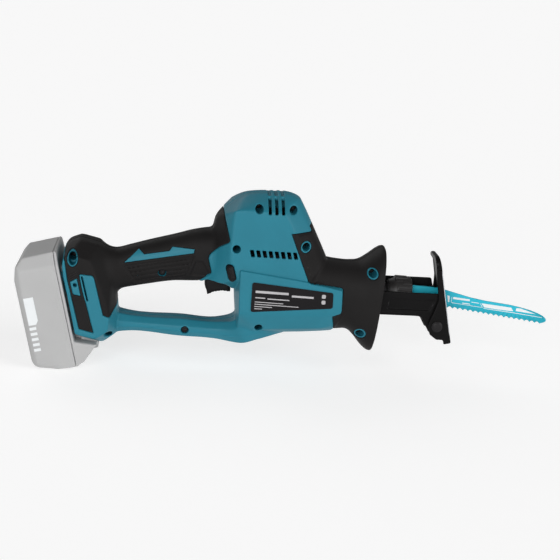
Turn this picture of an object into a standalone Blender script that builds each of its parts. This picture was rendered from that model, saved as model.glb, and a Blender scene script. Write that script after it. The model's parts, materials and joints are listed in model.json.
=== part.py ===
"""Cordless one-hand reciprocating saw, built as an assembly of separate solids.

Lengths are in millimetres until a mesh is made, then in metres. The saw frame has X along
the blade's stroke (blade towards +X), Z up and Y across, and its origin is on the stroke
axis at the front flange. ROW_ORIGIN is the middle of the saw's box in that frame, and the
whole assembly hangs from an empty that moves it there. "Right" is -Y, "left" is +Y.
"""
import math

import bmesh
import bpy
from mathutils import Matrix, Vector

MM = 0.001
ROW_ORIGIN = (-90.9, 0.0, 4.5)
GAP = 0.3                      # clearance between neighbouring pieces

# Housing walls: overmould skin, then a gap, then the shell under it, then the cavity.
SKIN = 1.4
SHELL_FACE = 1.7
CAVITY = 3.6
SINK = 0.25                    # how far the boss rings and mini panels sit below the skin

# Battery interface: a plane leaning back from vertical, met on the centre plane here.
INTERFACE_POINT = (-290.5, -20.0)
INTERFACE_LEAN = math.radians(12.7)
RECESS_DEPTH = 19.4
RECESS_TOP = 36.0

# Drive: vertical motor, pinion and crank gear, and a yoke that turns it into a stroke.
MOTOR_X = -108.0
MODULE = 1.2
PINION_TEETH = 6
CRANK_TEETH = 36
CRANK_X = MOTOR_X + MODULE * (PINION_TEETH + CRANK_TEETH) / 2
CRANK_THROW = 10.0
GEAR_LOW = 10.0
GEAR_HIGH = 16.0
PIN_RADIUS = 3.5
YOKE_SLOT_HALF = 5.9           # half width of the yoke's slot, along the stroke
SLIDER_RADIUS = 7.0

# Blade clamp, shoe holder and shoe.
CLAMP_START = 2.5
CLAMP_END = 23.0
CLAMP_RADIUS = 12.0
HOLDER_HALF = 15.0             # half width over the shoe holder's walls
HOLDER_WALL = 2.0
SHOE_PIVOT = (48.9, -29.1)
SHOE_LEAN = math.radians(11.5)
SHOE_HALF = 18.0
SHOE_FACE = 12.2               # how far the shoe's front face stands from its pivot
SHOE_PLATE = 3.0

BATTERY_HALF = 37.4            # half width of the battery case
BATTERY_WALL = 2.4
BATTERY_SEAM = -2.8            # where the case meets its cover, from the interface
CELL_PITCH = 18.5
CELL_LOW = -41.2               # centre of the lowest cells

SCREW_BORE = 2.0               # radius of the screws' threaded part
WELL_RADIUS = 3.7
BOSS_RADIUS = 5.4
WELL_FLOOR = 9.0               # how far from the centre plane each screw well stops

# Housing screws: name, x, z.
HOUSING_SCREWS = (
    ("rear_top", -287.0, 24.7),
    ("grip", -207.5, 10.4),
    ("body_rear", -142.1, 40.2),
    ("top_rear", -123.6, 76.6),
    ("top_front", -92.4, 75.8),
    ("front_slope", -79.3, 43.5),
    ("flange_top", -16.4, 20.8),
    ("flange_bottom", -23.6, -36.5),
    ("lower_bar", -184.6, -43.2),
    ("lower_body", -117.8, -33.9),
    ("rear_foot", -254.0, -46.0),
)

# Areas of the side view that the black overmould covers.
GRIP_REGION = (
    (-320, 95), (-300, 60), (-291.6, 6), (-279.6, -41.5), (-266.9, -44.2), (-278.5, -9.2), (-281.9, 8.5),
    (-280.7, 10.5), (-269.3, 9.7), (-267.5, 7.2), (-258.5, -26.6), (-252.4, -28.6),
    (-246.3, -19.3), (-236, -14), (-180, -8), (-172.6, 4.5), (-163.7, 12.5), (-162.9, 13.9),
    (-166.1, 27.1), (-164.7, 31), (-155.9, 39.9), (-149.3, 44.9), (-148, 47.2),
    (-153.2, 66.2), (-155.5, 77), (-160, 95),
)
NOSE_REGION = (
    (-60, 95), (-71, 59.6), (-91.5, 57.5), (-93.9, 56.7), (-83.7, 32.2), (-75.5, 12.3),
    (-73.1, 10.9), (-44.8, 6.7), (-42.9, 5.5), (-43.2, -14.7), (-44.2, -16.8),
    (-51.3, -19.5), (-44.5, -50), (-44.5, -70), (20, -70), (20, 95),
)
CROWN_REGION = ((-84, 56), (-77.6, 67.5), (-60, 75), (-60, 45), (-84, 45))
CROWN_HALF = 17.0              # half width of the part of the rubber that climbs the crown
MINI_PANEL = ((-288.6, 3.2), (-282.2, 6.8), (-278.6, -8.5), (-285.4, -6.8))

TEAL = (0.026, 0.205, 0.285)
BLACK_RUBBER = (0.020, 0.018, 0.018)
BLACK_PLASTIC = (0.025, 0.024, 0.025)
BLACK_STEEL = (0.012, 0.012, 0.013)
STEEL = (0.55, 0.56, 0.58)
DARK_STEEL = (0.20, 0.20, 0.21)
ALUMINIUM = (0.62, 0.63, 0.65)
BRONZE = (0.45, 0.27, 0.11)
COPPER = (0.60, 0.22, 0.09)
BLADE_BLUE = (0.0, 0.43, 0.54)
BATTERY_GREY = (0.49, 0.49, 0.49)
BOARD_GREEN = (0.02, 0.16, 0.07)
LEAD_RED = (0.45, 0.02, 0.02)
CLEAR = (0.90, 0.92, 0.95)


# ---------------------------------------------------------------- scene and materials

def clear_scene():
    for item in list(bpy.data.objects):
        bpy.data.objects.remove(item, do_unlink=True)


def finish_material(item, colour, roughness, metallic=0.0):
    """Gives one object its own Principled material."""
    made = bpy.data.materials.new(item.name + "_finish")
    made.use_nodes = True
    shader = made.node_tree.nodes["Principled BSDF"]
    shader.inputs["Base Color"].default_value = (*colour, 1.0)
    shader.inputs["Roughness"].default_value = roughness
    shader.inputs["Metallic"].default_value = metallic
    item.data.materials.clear()
    item.data.materials.append(made)


def link(name, mesh):
    item = bpy.data.objects.new(name, mesh)
    bpy.context.scene.collection.objects.link(item)
    return item


# ---------------------------------------------------------------- solids from points

def solid(name, vertices, faces):
    """A closed mesh from millimetre points, with its faces turned outwards."""
    mesh = bpy.data.meshes.new(name)
    mesh.from_pydata([[value * MM for value in point] for point in vertices], [], faces)
    shape = bmesh.new()
    shape.from_mesh(mesh)
    bmesh.ops.recalc_face_normals(shape, faces=shape.faces)
    shape.to_mesh(mesh)
    shape.free()
    return link(name, mesh)


def hull_faces(points):
    """The convex hull of some points: its corners and its triangles."""
    shape = bmesh.new()
    for point in points:
        shape.verts.new(point)
    result = bmesh.ops.convex_hull(shape, input=shape.verts)
    spare = {item for item in result["geom_interior"] if isinstance(item, bmesh.types.BMVert)}
    spare |= {item for item in result["geom_unused"] if isinstance(item, bmesh.types.BMVert)}
    bmesh.ops.delete(shape, geom=list(spare), context="VERTS")
    bmesh.ops.recalc_face_normals(shape, faces=shape.faces)
    shape.normal_update()
    return shape


def hull(name, points, inset=0.0):
    """A convex solid round the points, with every face moved in by the inset."""
    shape = hull_faces(points)
    if inset:
        inner = [vertex.co - vertex.normal * vertex.calc_shell_factor() * inset for vertex in shape.verts]
        shape.free()
        shape = hull_faces(inner)
    bmesh.ops.dissolve_limit(
        shape, angle_limit=math.radians(0.5), verts=shape.verts, edges=shape.edges)
    bmesh.ops.scale(shape, vec=(MM, MM, MM), verts=shape.verts)
    mesh = bpy.data.meshes.new(name)
    shape.to_mesh(mesh)
    shape.free()
    return link(name, mesh)


def both_sides(half_width, outline):
    """The outline's (x, z) points at +Y and -Y. half_width may be a function of x."""
    points = []
    for x, z in outline:
        y = half_width(x) if callable(half_width) else half_width
        points.append((x, y, z))
        points.append((x, -y, z))
    return points


def lift(u, v, along, axis):
    """A point of an outline drawn across the named axis."""
    if axis == "X":
        return (along, u, v)
    if axis == "Y":
        return (u, along, v)
    return (u, v, along)


def prism(name, outline, axis, low, high):
    """An outline pushed along an axis: (y, z) for X, (x, z) for Y and (x, y) for Z."""
    count = len(outline)
    vertices = [lift(u, v, low, axis) for u, v in outline]
    vertices += [lift(u, v, high, axis) for u, v in outline]
    faces = [tuple(range(count)), tuple(range(count, 2 * count))]
    for index in range(count):
        following = (index + 1) % count
        faces.append((index, following, following + count, index + count))
    return solid(name, vertices, faces)


def box(name, low, high):
    outline = ((low[0], low[2]), (high[0], low[2]), (high[0], high[2]), (low[0], high[2]))
    return prism(name, outline, "Y", low[1], high[1])


def circle(u, v, radius, count=16, start=0.0, turn=2 * math.pi):
    """Points round a circle, or round part of one."""
    steps = count if turn >= 2 * math.pi else count - 1
    angles = [start + turn * index / steps for index in range(count)]
    return [(u + radius * math.cos(angle), v + radius * math.sin(angle)) for angle in angles]


def rounded(corners, arc_points=4):
    """An outline whose corners (u, v, radius) are rounded off."""
    outline = []
    count = len(corners)
    for index, corner in enumerate(corners):
        here = Vector(corner[:2])
        radius = corner[2] if len(corner) > 2 else 0.0
        if not radius:
            outline.append(tuple(here))
            continue
        before = (Vector(corners[index - 1][:2]) - here).normalized()
        after = (Vector(corners[(index + 1) % count][:2]) - here).normalized()
        half = before.angle(after) / 2
        centre = here + (before + after).normalized() * radius / math.sin(half)
        first = here + before * radius / math.tan(half) - centre
        last = here + after * radius / math.tan(half) - centre
        swing = first.angle_signed(last)
        for step in range(arc_points):
            spoke = first.copy()
            spoke.rotate(Matrix.Rotation(-swing * step / (arc_points - 1), 2))
            outline.append(tuple(centre + spoke))
    return outline


def round_box(low, high, radius):
    """The corners of a rectangle with rounded corners, for rounded()."""
    return rounded((
        (low[0], low[1], radius), (high[0], low[1], radius),
        (high[0], high[1], radius), (low[0], high[1], radius)))


def loft(name, rings):
    """A closed solid through rings with equal numbers of points."""
    count = len(rings[0])
    vertices = [point for ring in rings for point in ring]
    faces = [tuple(range(count)), tuple(range(len(vertices) - count, len(vertices)))]
    for row in range(len(rings) - 1):
        for index in range(count):
            following = (index + 1) % count
            near = row * count
            far = near + count
            faces.append((near + index, near + following, far + following, far + index))
    return solid(name, vertices, faces)


def superellipse(half_u, half_v, exponent, count=16):
    """A ring between an ellipse (exponent 2) and a rectangle."""
    ring = []
    for index in range(count):
        angle = 2 * math.pi * (index + 0.5) / count
        cosine = math.cos(angle)
        sine = math.sin(angle)
        u = math.copysign(abs(cosine) ** (2 / exponent), cosine) * half_u
        v = math.copysign(abs(sine) ** (2 / exponent), sine) * half_v
        ring.append((u, v))
    return ring


def turned(name, profile, axis, centre, segments=24):
    """A solid of revolution from a closed (along, radius) profile; radius 0 lies on the axis."""
    vertices = []
    rows = []
    for along, radius in profile:
        if radius == 0:
            rows.append([len(vertices)] * segments)
            vertices.append(lift(centre[0], centre[1], along, axis))
            continue
        rows.append(list(range(len(vertices), len(vertices) + segments)))
        for u, v in circle(centre[0], centre[1], radius, segments):
            vertices.append(lift(u, v, along, axis))
    faces = []
    for row, ring in enumerate(rows):
        other = rows[(row + 1) % len(rows)]
        for index in range(segments):
            following = (index + 1) % segments
            corners = (ring[index], ring[following], other[following], other[index])
            face = list(dict.fromkeys(corners))
            if len(face) > 2:
                faces.append(face)
    return solid(name, vertices, faces)


def rod(name, axis, centre, radius, low, high, segments=16):
    return prism(name, circle(centre[0], centre[1], radius, segments), axis, low, high)


# ---------------------------------------------------------------- cutting and joining

def combine(target, tool, operation, solver="EXACT"):
    """One Boolean, applied; the tool is used up."""
    modifier = target.modifiers.new("combine", "BOOLEAN")
    modifier.solver = solver
    modifier.operation = operation
    modifier.object = tool
    graph = bpy.context.evaluated_depsgraph_get()
    mesh = bpy.data.meshes.new_from_object(target.evaluated_get(graph))
    target.modifiers.clear()
    target.data = mesh
    bpy.data.objects.remove(tool, do_unlink=True)
    return target


def cut(target, *tools):
    for tool in tools:
        combine(target, tool, "DIFFERENCE")
    return target


def cut_shell(target, *tools):
    """Cuts a thin shell, where the exact solver loses the mesh."""
    for tool in tools:
        combine(target, tool, "DIFFERENCE", "MANIFOLD")
    return target


def join(target, *tools):
    for tool in tools:
        combine(target, tool, "UNION")
    return target


def keep(target, tool):
    return combine(target, tool, "INTERSECT")


def copy_of(item, name):
    return link(name, item.data.copy())


def move_points(item, matrix):
    """Moves an object's points by a matrix whose shift is in millimetres."""
    shift = Matrix.Translation(matrix.to_translation() * MM)
    item.data.transform(shift @ matrix.to_3x3().to_4x4())
    return item


def battery_frame():
    """The battery interface: x towards the saw, z up along the interface."""
    place = Matrix.Translation((INTERFACE_POINT[0], 0.0, INTERFACE_POINT[1]))
    return place @ Matrix.Rotation(-INTERFACE_LEAN, 4, "Y")


def shoe_frame():
    """The shoe: origin on its pivot, x out of its front face, z up along the face."""
    place = Matrix.Translation((SHOE_PIVOT[0], 0.0, SHOE_PIVOT[1]))
    return place @ Matrix.Rotation(-SHOE_LEAN, 4, "Y")


# ---------------------------------------------------------------- the body's outer form

def motor_top(inset):
    """The upper part of the motor housing, with its long top and front bevels."""
    crown = ((-162.6, 55), (-160.6, 62.8), (-154.6, 70.2), (-145, 78.8), (-137, 84.5),
             (-129.5, 86.6), (-113.5, 87.8), (-97.5, 87.7), (-90.6, 86.1), (-84.7, 83), (-80.5, 76.4),
             (-71.6, 59.1), (-57.4, 30), (-163, 22), (-171, -1.8))
    ridge = ((-156.6, 64.5), (-138.5, 82.6), (-115, 85.0), (-98, 84.8), (-90.6, 83.1), (-86.1, 78.6),
             (-74.4, 58.9), (-60.5, 30), (-162, 20), (-165, 0), (-140, -1), (-66, -1))
    flat = ((-146, 74.5), (-139.9, 76.3), (-101.3, 74.4), (-97.6, 71.7), (-92, 58), (-72, 12),
            (-143, 12), (-147, 30))
    points = both_sides(10.0, crown) + both_sides(18.0, ridge)
    points += both_sides(lambda x: 36.5 - 0.05 * (x + 146), flat)
    return hull("motor_top", points, inset)


def motor_base(inset):
    """The lower part of the motor housing, which stands prouder and carries the label."""
    bottom = ((-137, -41.5), (-95, -40.9), (-78, -39.9), (-50, -36.8), (-141, -4), (-141, 8))
    flank = ((-137, -30), (-118, -36.5), (-60, -33), (-46, -28))
    flat = ((-138, 21.3), (-74, 12), (-44, 5.2), (-43, -14.5), (-52, -17.5), (-137, -19))
    points = both_sides(16.0, bottom) + both_sides(27.0, flank)
    points += both_sides(lambda x: 38.5 - 0.045 * (x + 139), flat)
    return hull("motor_base", points, inset)


def nose(inset):
    """The gear nose, which narrows and then flares into the front flange.

    Each section gives x at the stroke axis, top, bottom, half width and squareness.
    """
    sections = (
        (-80, 29, -38.5, 31.0, 3.2), (-62, 28, -38, 30.5, 3.0), (-46, 26.2, -36.8, 29.5, 2.8),
        (-34, 25.9, -37.4, 29.3, 2.7), (-27, 26.3, -43.0, 30.2, 2.6), (-20, 29.5, -50.2, 31.8, 2.5),
        (-14, 34.7, -54.2, 33.4, 2.5), (-11.8, 37.2, -55.2, 34.0, 2.5), (-7.6, 40.4, -56.2, 34.5, 2.5),
    )
    rings = []
    for index, (x, top, bottom, half, exponent) in enumerate(sections):
        flare = max(0.0, (x + 34) / 26.4)
        across = superellipse(half - inset, (top - bottom) / 2 - inset, exponent)
        middle = (top + bottom) / 2
        shift = -inset if index == len(sections) - 1 else 0.0
        rings.append([(x + shift + flare * 0.085 * v, u, middle + v) for u, v in across])
    return loft("nose", rings)


def handle(inset):
    """The grip: sections give x, middle height, half height, half width."""
    sections = (
        (-270, 8, 18, 19), (-257, 9, 18.8, 18.2), (-247, 10.2, 18.7, 17.4), (-238, 12.6, 19.1, 17),
        (-222, 16.7, 19.9, 17.2), (-196, 22.6, 21.3, 17.6), (-180, 25.3, 23.4, 18.2),
        (-168, 26.8, 24.2, 19.5), (-152, 27.6, 24.6, 21),
    )
    rings = []
    for x, middle, half_height, half_width in sections:
        ring = superellipse(half_width - inset, half_height - inset, 2.5, 14)
        rings.append([(x, u, middle + v) for u, v in ring])
    return loft("handle", rings)


def rear_block(inset):
    """The block that carries the battery interface, with a rounded foot below."""
    top = ((-296.0, 29.5), (-291.7, 34), (-281.8, 37.8), (-274, 36.1), (-264.7, 33.9), (-259, 27))
    middle = ((-252, 20), (-247.5, -16), (-246, -30), (-246, -44))
    foot = ((-246.5, -47.3), (-251, -51.3), (-258.7, -56.8), (-264, -56.3), (-268.5, -51.8), (-283, -48))
    flat = ((-296.6, 17), (-283.2, -46), (-264, -49.5), (-255, -42), (-253, -27), (-267, 12),
            (-272, 24), (-288, 29), (-294, 27))
    points = both_sides(15.0, top) + both_sides(13.0, middle) + both_sides(16.0, foot)
    points += both_sides(36.5, flat)
    return hull("rear_block", points, inset)


def lower_bar(inset):
    """The bar under the hand: sections give x, top, bottom, half width."""
    sections = (
        (-264, -28, -49, 24), (-250, -29.5, -48, 16.5), (-238, -31.8, -46.8, 14.8),
        (-190, -33.8, -49.6, 14.8), (-152, -34.8, -51.4, 15.6), (-142, -32.9, -52.2, 19),
        (-132, -27, -52.0, 23), (-117, -27, -48.0, 22), (-95, -27, -41.6, 18),
    )
    rings = []
    for x, top, bottom, half in sections:
        low = bottom + inset
        high = top - inset
        wide = half - inset
        slope = (high - low) * 0.24
        side = ((wide - 3.5, high), (wide, high - slope), (wide, low + slope), (wide - 4, low))
        mirrored = [(-u, v) for u, v in reversed(side)]
        rings.append([(x, u, v) for u, v in list(side) + mirrored])
    return loft("lower_bar", rings)


def body(inset):
    """The whole outer form, with every surface moved in by the inset."""
    whole = motor_top(inset)
    return join(
        whole, motor_base(inset), nose(inset), handle(inset), rear_block(inset), lower_bar(inset))


def cavity():
    """The hollow inside the shells; the rear block stays solid round its battery rails."""
    hollow = body(CAVITY)
    rear = box("rear_core", (-18.0, -60.0, -60.0), (RECESS_DEPTH + 4.0, 60.0, 80.0))
    return cut(hollow, move_points(rear, battery_frame()))


def grown(outline, amount):
    """An outline with each corner moved out by an amount, for a gap round it."""
    count = len(outline)
    points = [Vector(point) for point in outline]
    area = sum(points[i - 1].x * points[i].y - points[i].x * points[i - 1].y for i in range(count))
    side = 1.0 if area > 0 else -1.0
    moved = []
    for index, point in enumerate(points):
        before = (point - points[index - 1]).normalized()
        after = (points[(index + 1) % count] - point).normalized()
        normal = Vector((before.y + after.y, -before.x - after.x)).normalized()
        edge = Vector((after.y, -after.x))
        moved.append(tuple(point + normal * side * amount / max(0.35, normal.dot(edge))))
    return moved


def region(name, outline, spread=0.0):
    return prism(name, grown(outline, spread) if spread else outline, "Y", -60.0, 60.0)


# ---------------------------------------------------------------- housing

def battery_recess(grow=0.0):
    """The T-shaped channel that the battery's rails slide up into."""
    neck = box("recess_neck", (-10, -21.2 - grow, -70), (5, 21.2 + grow, RECESS_TOP))
    head = box("recess_head", (4.6, -24.8 - grow, -70), (RECESS_DEPTH, 24.8 + grow, RECESS_TOP))
    return move_points(join(neck, head), battery_frame())


def vent_slots():
    """Eight slanted slots on each flank, three on each top bevel and three notches on top."""
    slots = []
    for index in range(8):
        x = -130.2 + 5.57 * index
        high = 39.9 - 0.15 * index
        outline = ((x, high), (x + 3.4, high), (x + 5.0, high - 6.3), (x + 1.6, high - 6.3))
        slots.append(prism("flank_vent", outline, "Y", -60, 60))
    for index in range(3):
        x = -115.3 + 6.0 * index
        for side in (-1, 1):
            slots.append(hull("bevel_vent", [
                (x + across, side * y, z) for across in (0, 2.8)
                for y, z in ((60, 71.6), (60, 81.2), (22, 81.2), (22, 71.6))]))
        slots.append(box("top_notch", (x, -13.0, 85.6), (x + 2.8, 13.0, 100.0)))
    return slots


def bosses(spread=0.0):
    """Screw bosses across the whole body, before they are trimmed to its form."""
    posts = [rod("boss", "Y", (x, z), BOSS_RADIUS + spread, -60, 60, 10) for _, x, z in HOUSING_SCREWS]
    return join(*posts)


def drills():
    """A stepped drill for each screw: a wide well on both sides and a bore between them."""
    profile = ((-60, 0), (-60, WELL_RADIUS), (-WELL_FLOOR, WELL_RADIUS), (-WELL_FLOOR, SCREW_BORE + GAP),
               (WELL_FLOOR, SCREW_BORE + GAP), (WELL_FLOOR, WELL_RADIUS), (60, WELL_RADIUS), (60, 0))
    return join(*[turned("drill", profile, "Y", (x, z), 8) for _, x, z in HOUSING_SCREWS])


def outer_form():
    """The shells' outside as one solid, let in where the rubber covers lie."""
    whole = cut(body(0.0), region("grip_cut", GRIP_REGION, GAP), nose_area(GAP))
    join(whole, body(SHELL_FACE))
    raised = join(bosses(), region("mini_panel", MINI_PANEL))
    return join(whole, keep(raised, body(SINK)))


def pierce(half):
    """Opens one half of the shell: rail channel, vents, controls, mouth, lamp and screw wells."""
    front_opening = prism("front_opening", round_box((-17, -21.5), (17, 14.5), 5), "X", -20, 10)
    trigger_slot = box("trigger_slot", (-168.8, -8.3, -20), (-143.4, 8.3, 12.4))
    lock_slot = prism("lock_slot", lock_outline(GAP), "Y", -60, 60)
    lamp_slot = box("lamp_slot", (-14, -5.3, -30.6), (10, 5.3, -24.4))
    strap_hole = rod("strap_hole", "Y", (-284.2, -1.4), 2.4, -60, -29, 12)
    lead_window = move_points(
        box("lead_window", (RECESS_DEPTH - 1, -9, 14), (RECESS_DEPTH + 8, 9, 30)), battery_frame())
    cut_shell(half, battery_recess(), *vent_slots())
    cut_shell(half, front_opening, trigger_slot, lock_slot, lamp_slot, strap_hole, lead_window)
    return cut_shell(half, drills())


def half_of(item, name, side):
    """The part of an object on one side of the centre plane, clear of it by half a gap."""
    piece = copy_of(item, name)
    if side < 0:
        return keep(piece, box("right_half", (-400, -80, -120), (100, -GAP / 2, 150)))
    return keep(piece, box("left_half", (-400, GAP / 2, -120), (100, 80, 150)))


def nose_area(spread=0.0):
    """The nose cover's area, with the patch that climbs the front of the crown."""
    patch = prism(
        "patch", grown(CROWN_REGION, spread) if spread else CROWN_REGION, "Y",
        -CROWN_HALF - spread, CROWN_HALF + spread)
    return join(region("nose_area", NOSE_REGION, spread), patch)


def overmould(area):
    """A rubber skin over one area of the shell, with holes where bosses come through."""
    skin = keep(area, body(0.0))
    cut(skin, body(SKIN))
    return cut(skin, bosses(GAP))


def make_housing():
    whole = outer_form()
    hollow = cut(cavity(), bosses())
    for side, word in ((-1, "right"), (1, "left")):
        half = half_of(whole, "housing_" + word, side)
        cut_shell(half, copy_of(hollow, "hollow"))
        finish_material(pierce(half), TEAL, 0.45)
    bpy.data.objects.remove(hollow, do_unlink=True)
    bpy.data.objects.remove(whole, do_unlink=True)
    grip = overmould(region("skin", GRIP_REGION))
    cut(grip, region("mini_window", MINI_PANEL, GAP), battery_recess(GAP))
    cut(grip, box("trigger_gap", (-169.1, -8.6, -20), (-143.4, 8.6, 12.4)))
    nose_skin = overmould(nose_area())
    cut(nose_skin, prism("mouth", round_box((-17.3, -21.8), (17.3, 14.8), 5), "X", -20, 10))
    cut(nose_skin, box("lamp_gap", (-14, -5.6, -30.9), (10, 5.6, -24.1)))
    for whole_skin, stem in ((grip, "grip_cover_"), (nose_skin, "nose_cover_")):
        for side, word in ((-1, "right"), (1, "left")):
            finish_material(half_of(whole_skin, stem + word, side), BLACK_RUBBER, 0.6)
        bpy.data.objects.remove(whole_skin, do_unlink=True)


def make_housing_screws():
    for name, x, z in HOUSING_SCREWS:
        item = turned(
            "screw_" + name,
            ((WELL_FLOOR - 1.0, 0), (WELL_FLOOR - 1.0, SCREW_BORE), (-WELL_FLOOR - GAP, SCREW_BORE),
             (-WELL_FLOOR - GAP, 3.2), (-WELL_FLOOR - 2.2, 3.0), (-WELL_FLOOR - 2.8, 1.8),
             (-WELL_FLOOR - 2.8, 0)),
            "Y", (x, z), 8)
        finish_material(item, DARK_STEEL, 0.4, 1.0)


def make_nameplates():
    """Plain rating plates, let in on the flat flank of the motor base."""
    outline = ((-126.4, 11.2), (-52.2, 3.4), (-52.0, -11.2), (-126.6, -16.6))
    for side, word in ((-1, "right"), (1, "left")):
        points = []
        for lift_off in (0.3, 0.7):
            for x, z in outline:
                y = 38.5 - 0.045 * (x + 139) + lift_off
                points.append((x, side * y, z))
        finish_material(hull("nameplate_" + word, points), BLACK_PLASTIC, 0.35)


# ---------------------------------------------------------------- controls

def lock_outline(grow=0.0):
    """The tilted oblong of the lock-off button, on the flank above the trigger."""
    low = Vector((-144.6, 13.6))
    high = Vector((-147.0, 22.2))
    radius = 3.3 + grow
    lean = math.atan2(high.y - low.y, high.x - low.x)
    lower = circle(low.x, low.y, radius, 7, lean + math.pi / 2, math.pi)
    upper = circle(high.x, high.y, radius, 7, lean - math.pi / 2, math.pi)
    return lower + upper


def make_lock_button():
    """A bar right across the housing, proud of it on both sides."""
    button = prism("lock_off_button", lock_outline(), "Y", -39.3, 39.3)
    finish_material(button, BLACK_PLASTIC, 0.45)


def make_trigger():
    outline = rounded((
        (-168.2, -1.5), (-165.3, -11.2, 1.2), (-160, -8.2, 6), (-152, -6.6, 8), (-144.2, -7.4, 1),
        (-144.2, 1.8), (-150.5, 1.8), (-150.5, 5.5), (-168.2, 5.5)))
    trigger = prism("trigger", outline, "Y", -7.8, 7.8)
    finish_material(trigger, BLACK_PLASTIC, 0.4)


def make_switch():
    base = box("switch_body", (-180, -8.5, 12.5), (-156, 8.5, 32))
    finish_material(base, BLACK_PLASTIC, 0.5)
    spring = turned(
        "trigger_spring", ((6.0, 1.6), (12.1, 1.6), (12.1, 2.8), (6.0, 2.8)), "Z", (-162, 0), 12)
    finish_material(spring, STEEL, 0.3, 1.0)


def make_leads():
    """Two power leads from the terminal block, through the grip, to the switch."""
    route = ((-273.9, 5.5), (-268, 7), (-258, 11.5), (-246, 17.5), (-230, 21.5), (-208, 24), (-190, 24.5),
             (-180.3, 24.5))
    for side, name, colour in ((-1, "lead_red", LEAD_RED), (1, "lead_black", BLACK_RUBBER)):
        rings = []
        for x, z in route:
            rings.append([(x, u, v) for u, v in circle(side * 4.5, z, 1.5, 8)])
        finish_material(loft(name, rings), colour, 0.5)


def make_controller():
    item = box("controller_module", (-228, -8, -42.0), (-192, 8, -38.8))
    finish_material(item, ALUMINIUM, 0.5, 0.6)


# ---------------------------------------------------------------- drive train

def gear_outline(teeth, addendum_radius, root_radius):
    """A spur gear drawn with one trapezoid for each tooth."""
    outline = []
    pitch = 2 * math.pi / teeth
    for tooth in range(teeth):
        start = pitch * tooth
        for share, radius in ((-0.32, root_radius), (-0.13, addendum_radius),
                              (0.13, addendum_radius), (0.32, root_radius)):
            angle = start + pitch * share
            outline.append((radius * math.cos(angle), radius * math.sin(angle)))
    return outline


def make_gears():
    crank_pitch = MODULE * CRANK_TEETH / 2
    outline = [(x + CRANK_X, y) for x, y in gear_outline(CRANK_TEETH, crank_pitch + 0.4, crank_pitch - 0.9)]
    crank = prism("crank_gear", outline, "Z", GEAR_LOW, GEAR_HIGH)
    join(crank, rod("crank_shaft", "Z", (CRANK_X, 0), 5.0, GEAR_HIGH - 1, 27.0, 16))
    cut(crank, rod("pin_hole", "Z", (CRANK_X - CRANK_THROW, 0), PIN_RADIUS, 0, 30, 12))
    finish_material(crank, STEEL, 0.35, 1.0)
    crank_pin = rod(
        "crank_pin", "Z", (CRANK_X - CRANK_THROW, 0), PIN_RADIUS - GAP, -5.5, GEAR_HIGH, 12)
    finish_material(crank_pin, STEEL, 0.2, 1.0)
    pinion_pitch = MODULE * PINION_TEETH / 2
    turn = math.pi / PINION_TEETH
    outline = []
    for x, y in gear_outline(PINION_TEETH, pinion_pitch + 0.4, pinion_pitch - 0.9):
        outline.append((
            MOTOR_X + x * math.cos(turn) - y * math.sin(turn),
            x * math.sin(turn) + y * math.cos(turn)))
    pinion = prism("pinion", outline, "Z", GEAR_LOW, GEAR_HIGH + 1)
    cut(pinion, rod("pinion_bore", "Z", (MOTOR_X, 0), 1.8, 0, 30, 8))
    finish_material(pinion, STEEL, 0.3, 1.0)


def make_motor():
    shaft_low = 8.0
    rotor = turned(
        "rotor",
        ((shaft_low, 0), (shaft_low, 1.5), (41.0, 1.5), (41.0, 12.3), (63.0, 12.3), (63.0, 2.5),
         (75.0, 2.5), (75.0, 0)),
        "Z", (MOTOR_X, 0), 16)
    finish_material(rotor, DARK_STEEL, 0.4, 1.0)
    stator = turned(
        "stator", ((40.0, 13.0), (40.0, 22.0), (64.0, 22.0), (64.0, 13.0)), "Z", (MOTOR_X, 0), 24)
    finish_material(stator, COPPER, 0.45, 0.8)
    fan = turned(
        "cooling_fan",
        ((31.5, 1.9), (31.5, 22.5), (33.0, 22.5), (34.0, 8.0), (38.0, 6.0), (38.0, 1.9)),
        "Z", (MOTOR_X, 0), 20)
    for index in range(10):
        angle = 2 * math.pi * index / 10
        blade = box("fan_blade", (7.0, -0.6, 32.0), (22.0, 0.6, 38.0))
        blade.data.transform(Matrix.Rotation(angle, 4, "Z"))
        join(fan, move_points(blade, Matrix.Translation((MOTOR_X, 0, 0))))
    finish_material(fan, BLACK_PLASTIC, 0.5)
    for name, low, bore in (("motor_bearing_top", 67.0, 2.8), ("motor_bearing_low", 21.5, 1.8)):
        ring = turned(
            name, ((low, bore), (low, 8.0), (low + 6.0, 8.0), (low + 6.0, bore)), "Z", (MOTOR_X, 0), 16)
        finish_material(ring, STEEL, 0.2, 1.0)
    cap = turned(
        "motor_cap",
        ((64.4, 20.0), (64.4, 23.0), (66.5, 23.0), (66.5, 9.8), (74.0, 9.8), (74.0, 8.4),
         (65.8, 8.4), (65.8, 20.0)),
        "Z", (MOTOR_X, 0), 20)
    finish_material(cap, BLACK_PLASTIC, 0.5)


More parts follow.
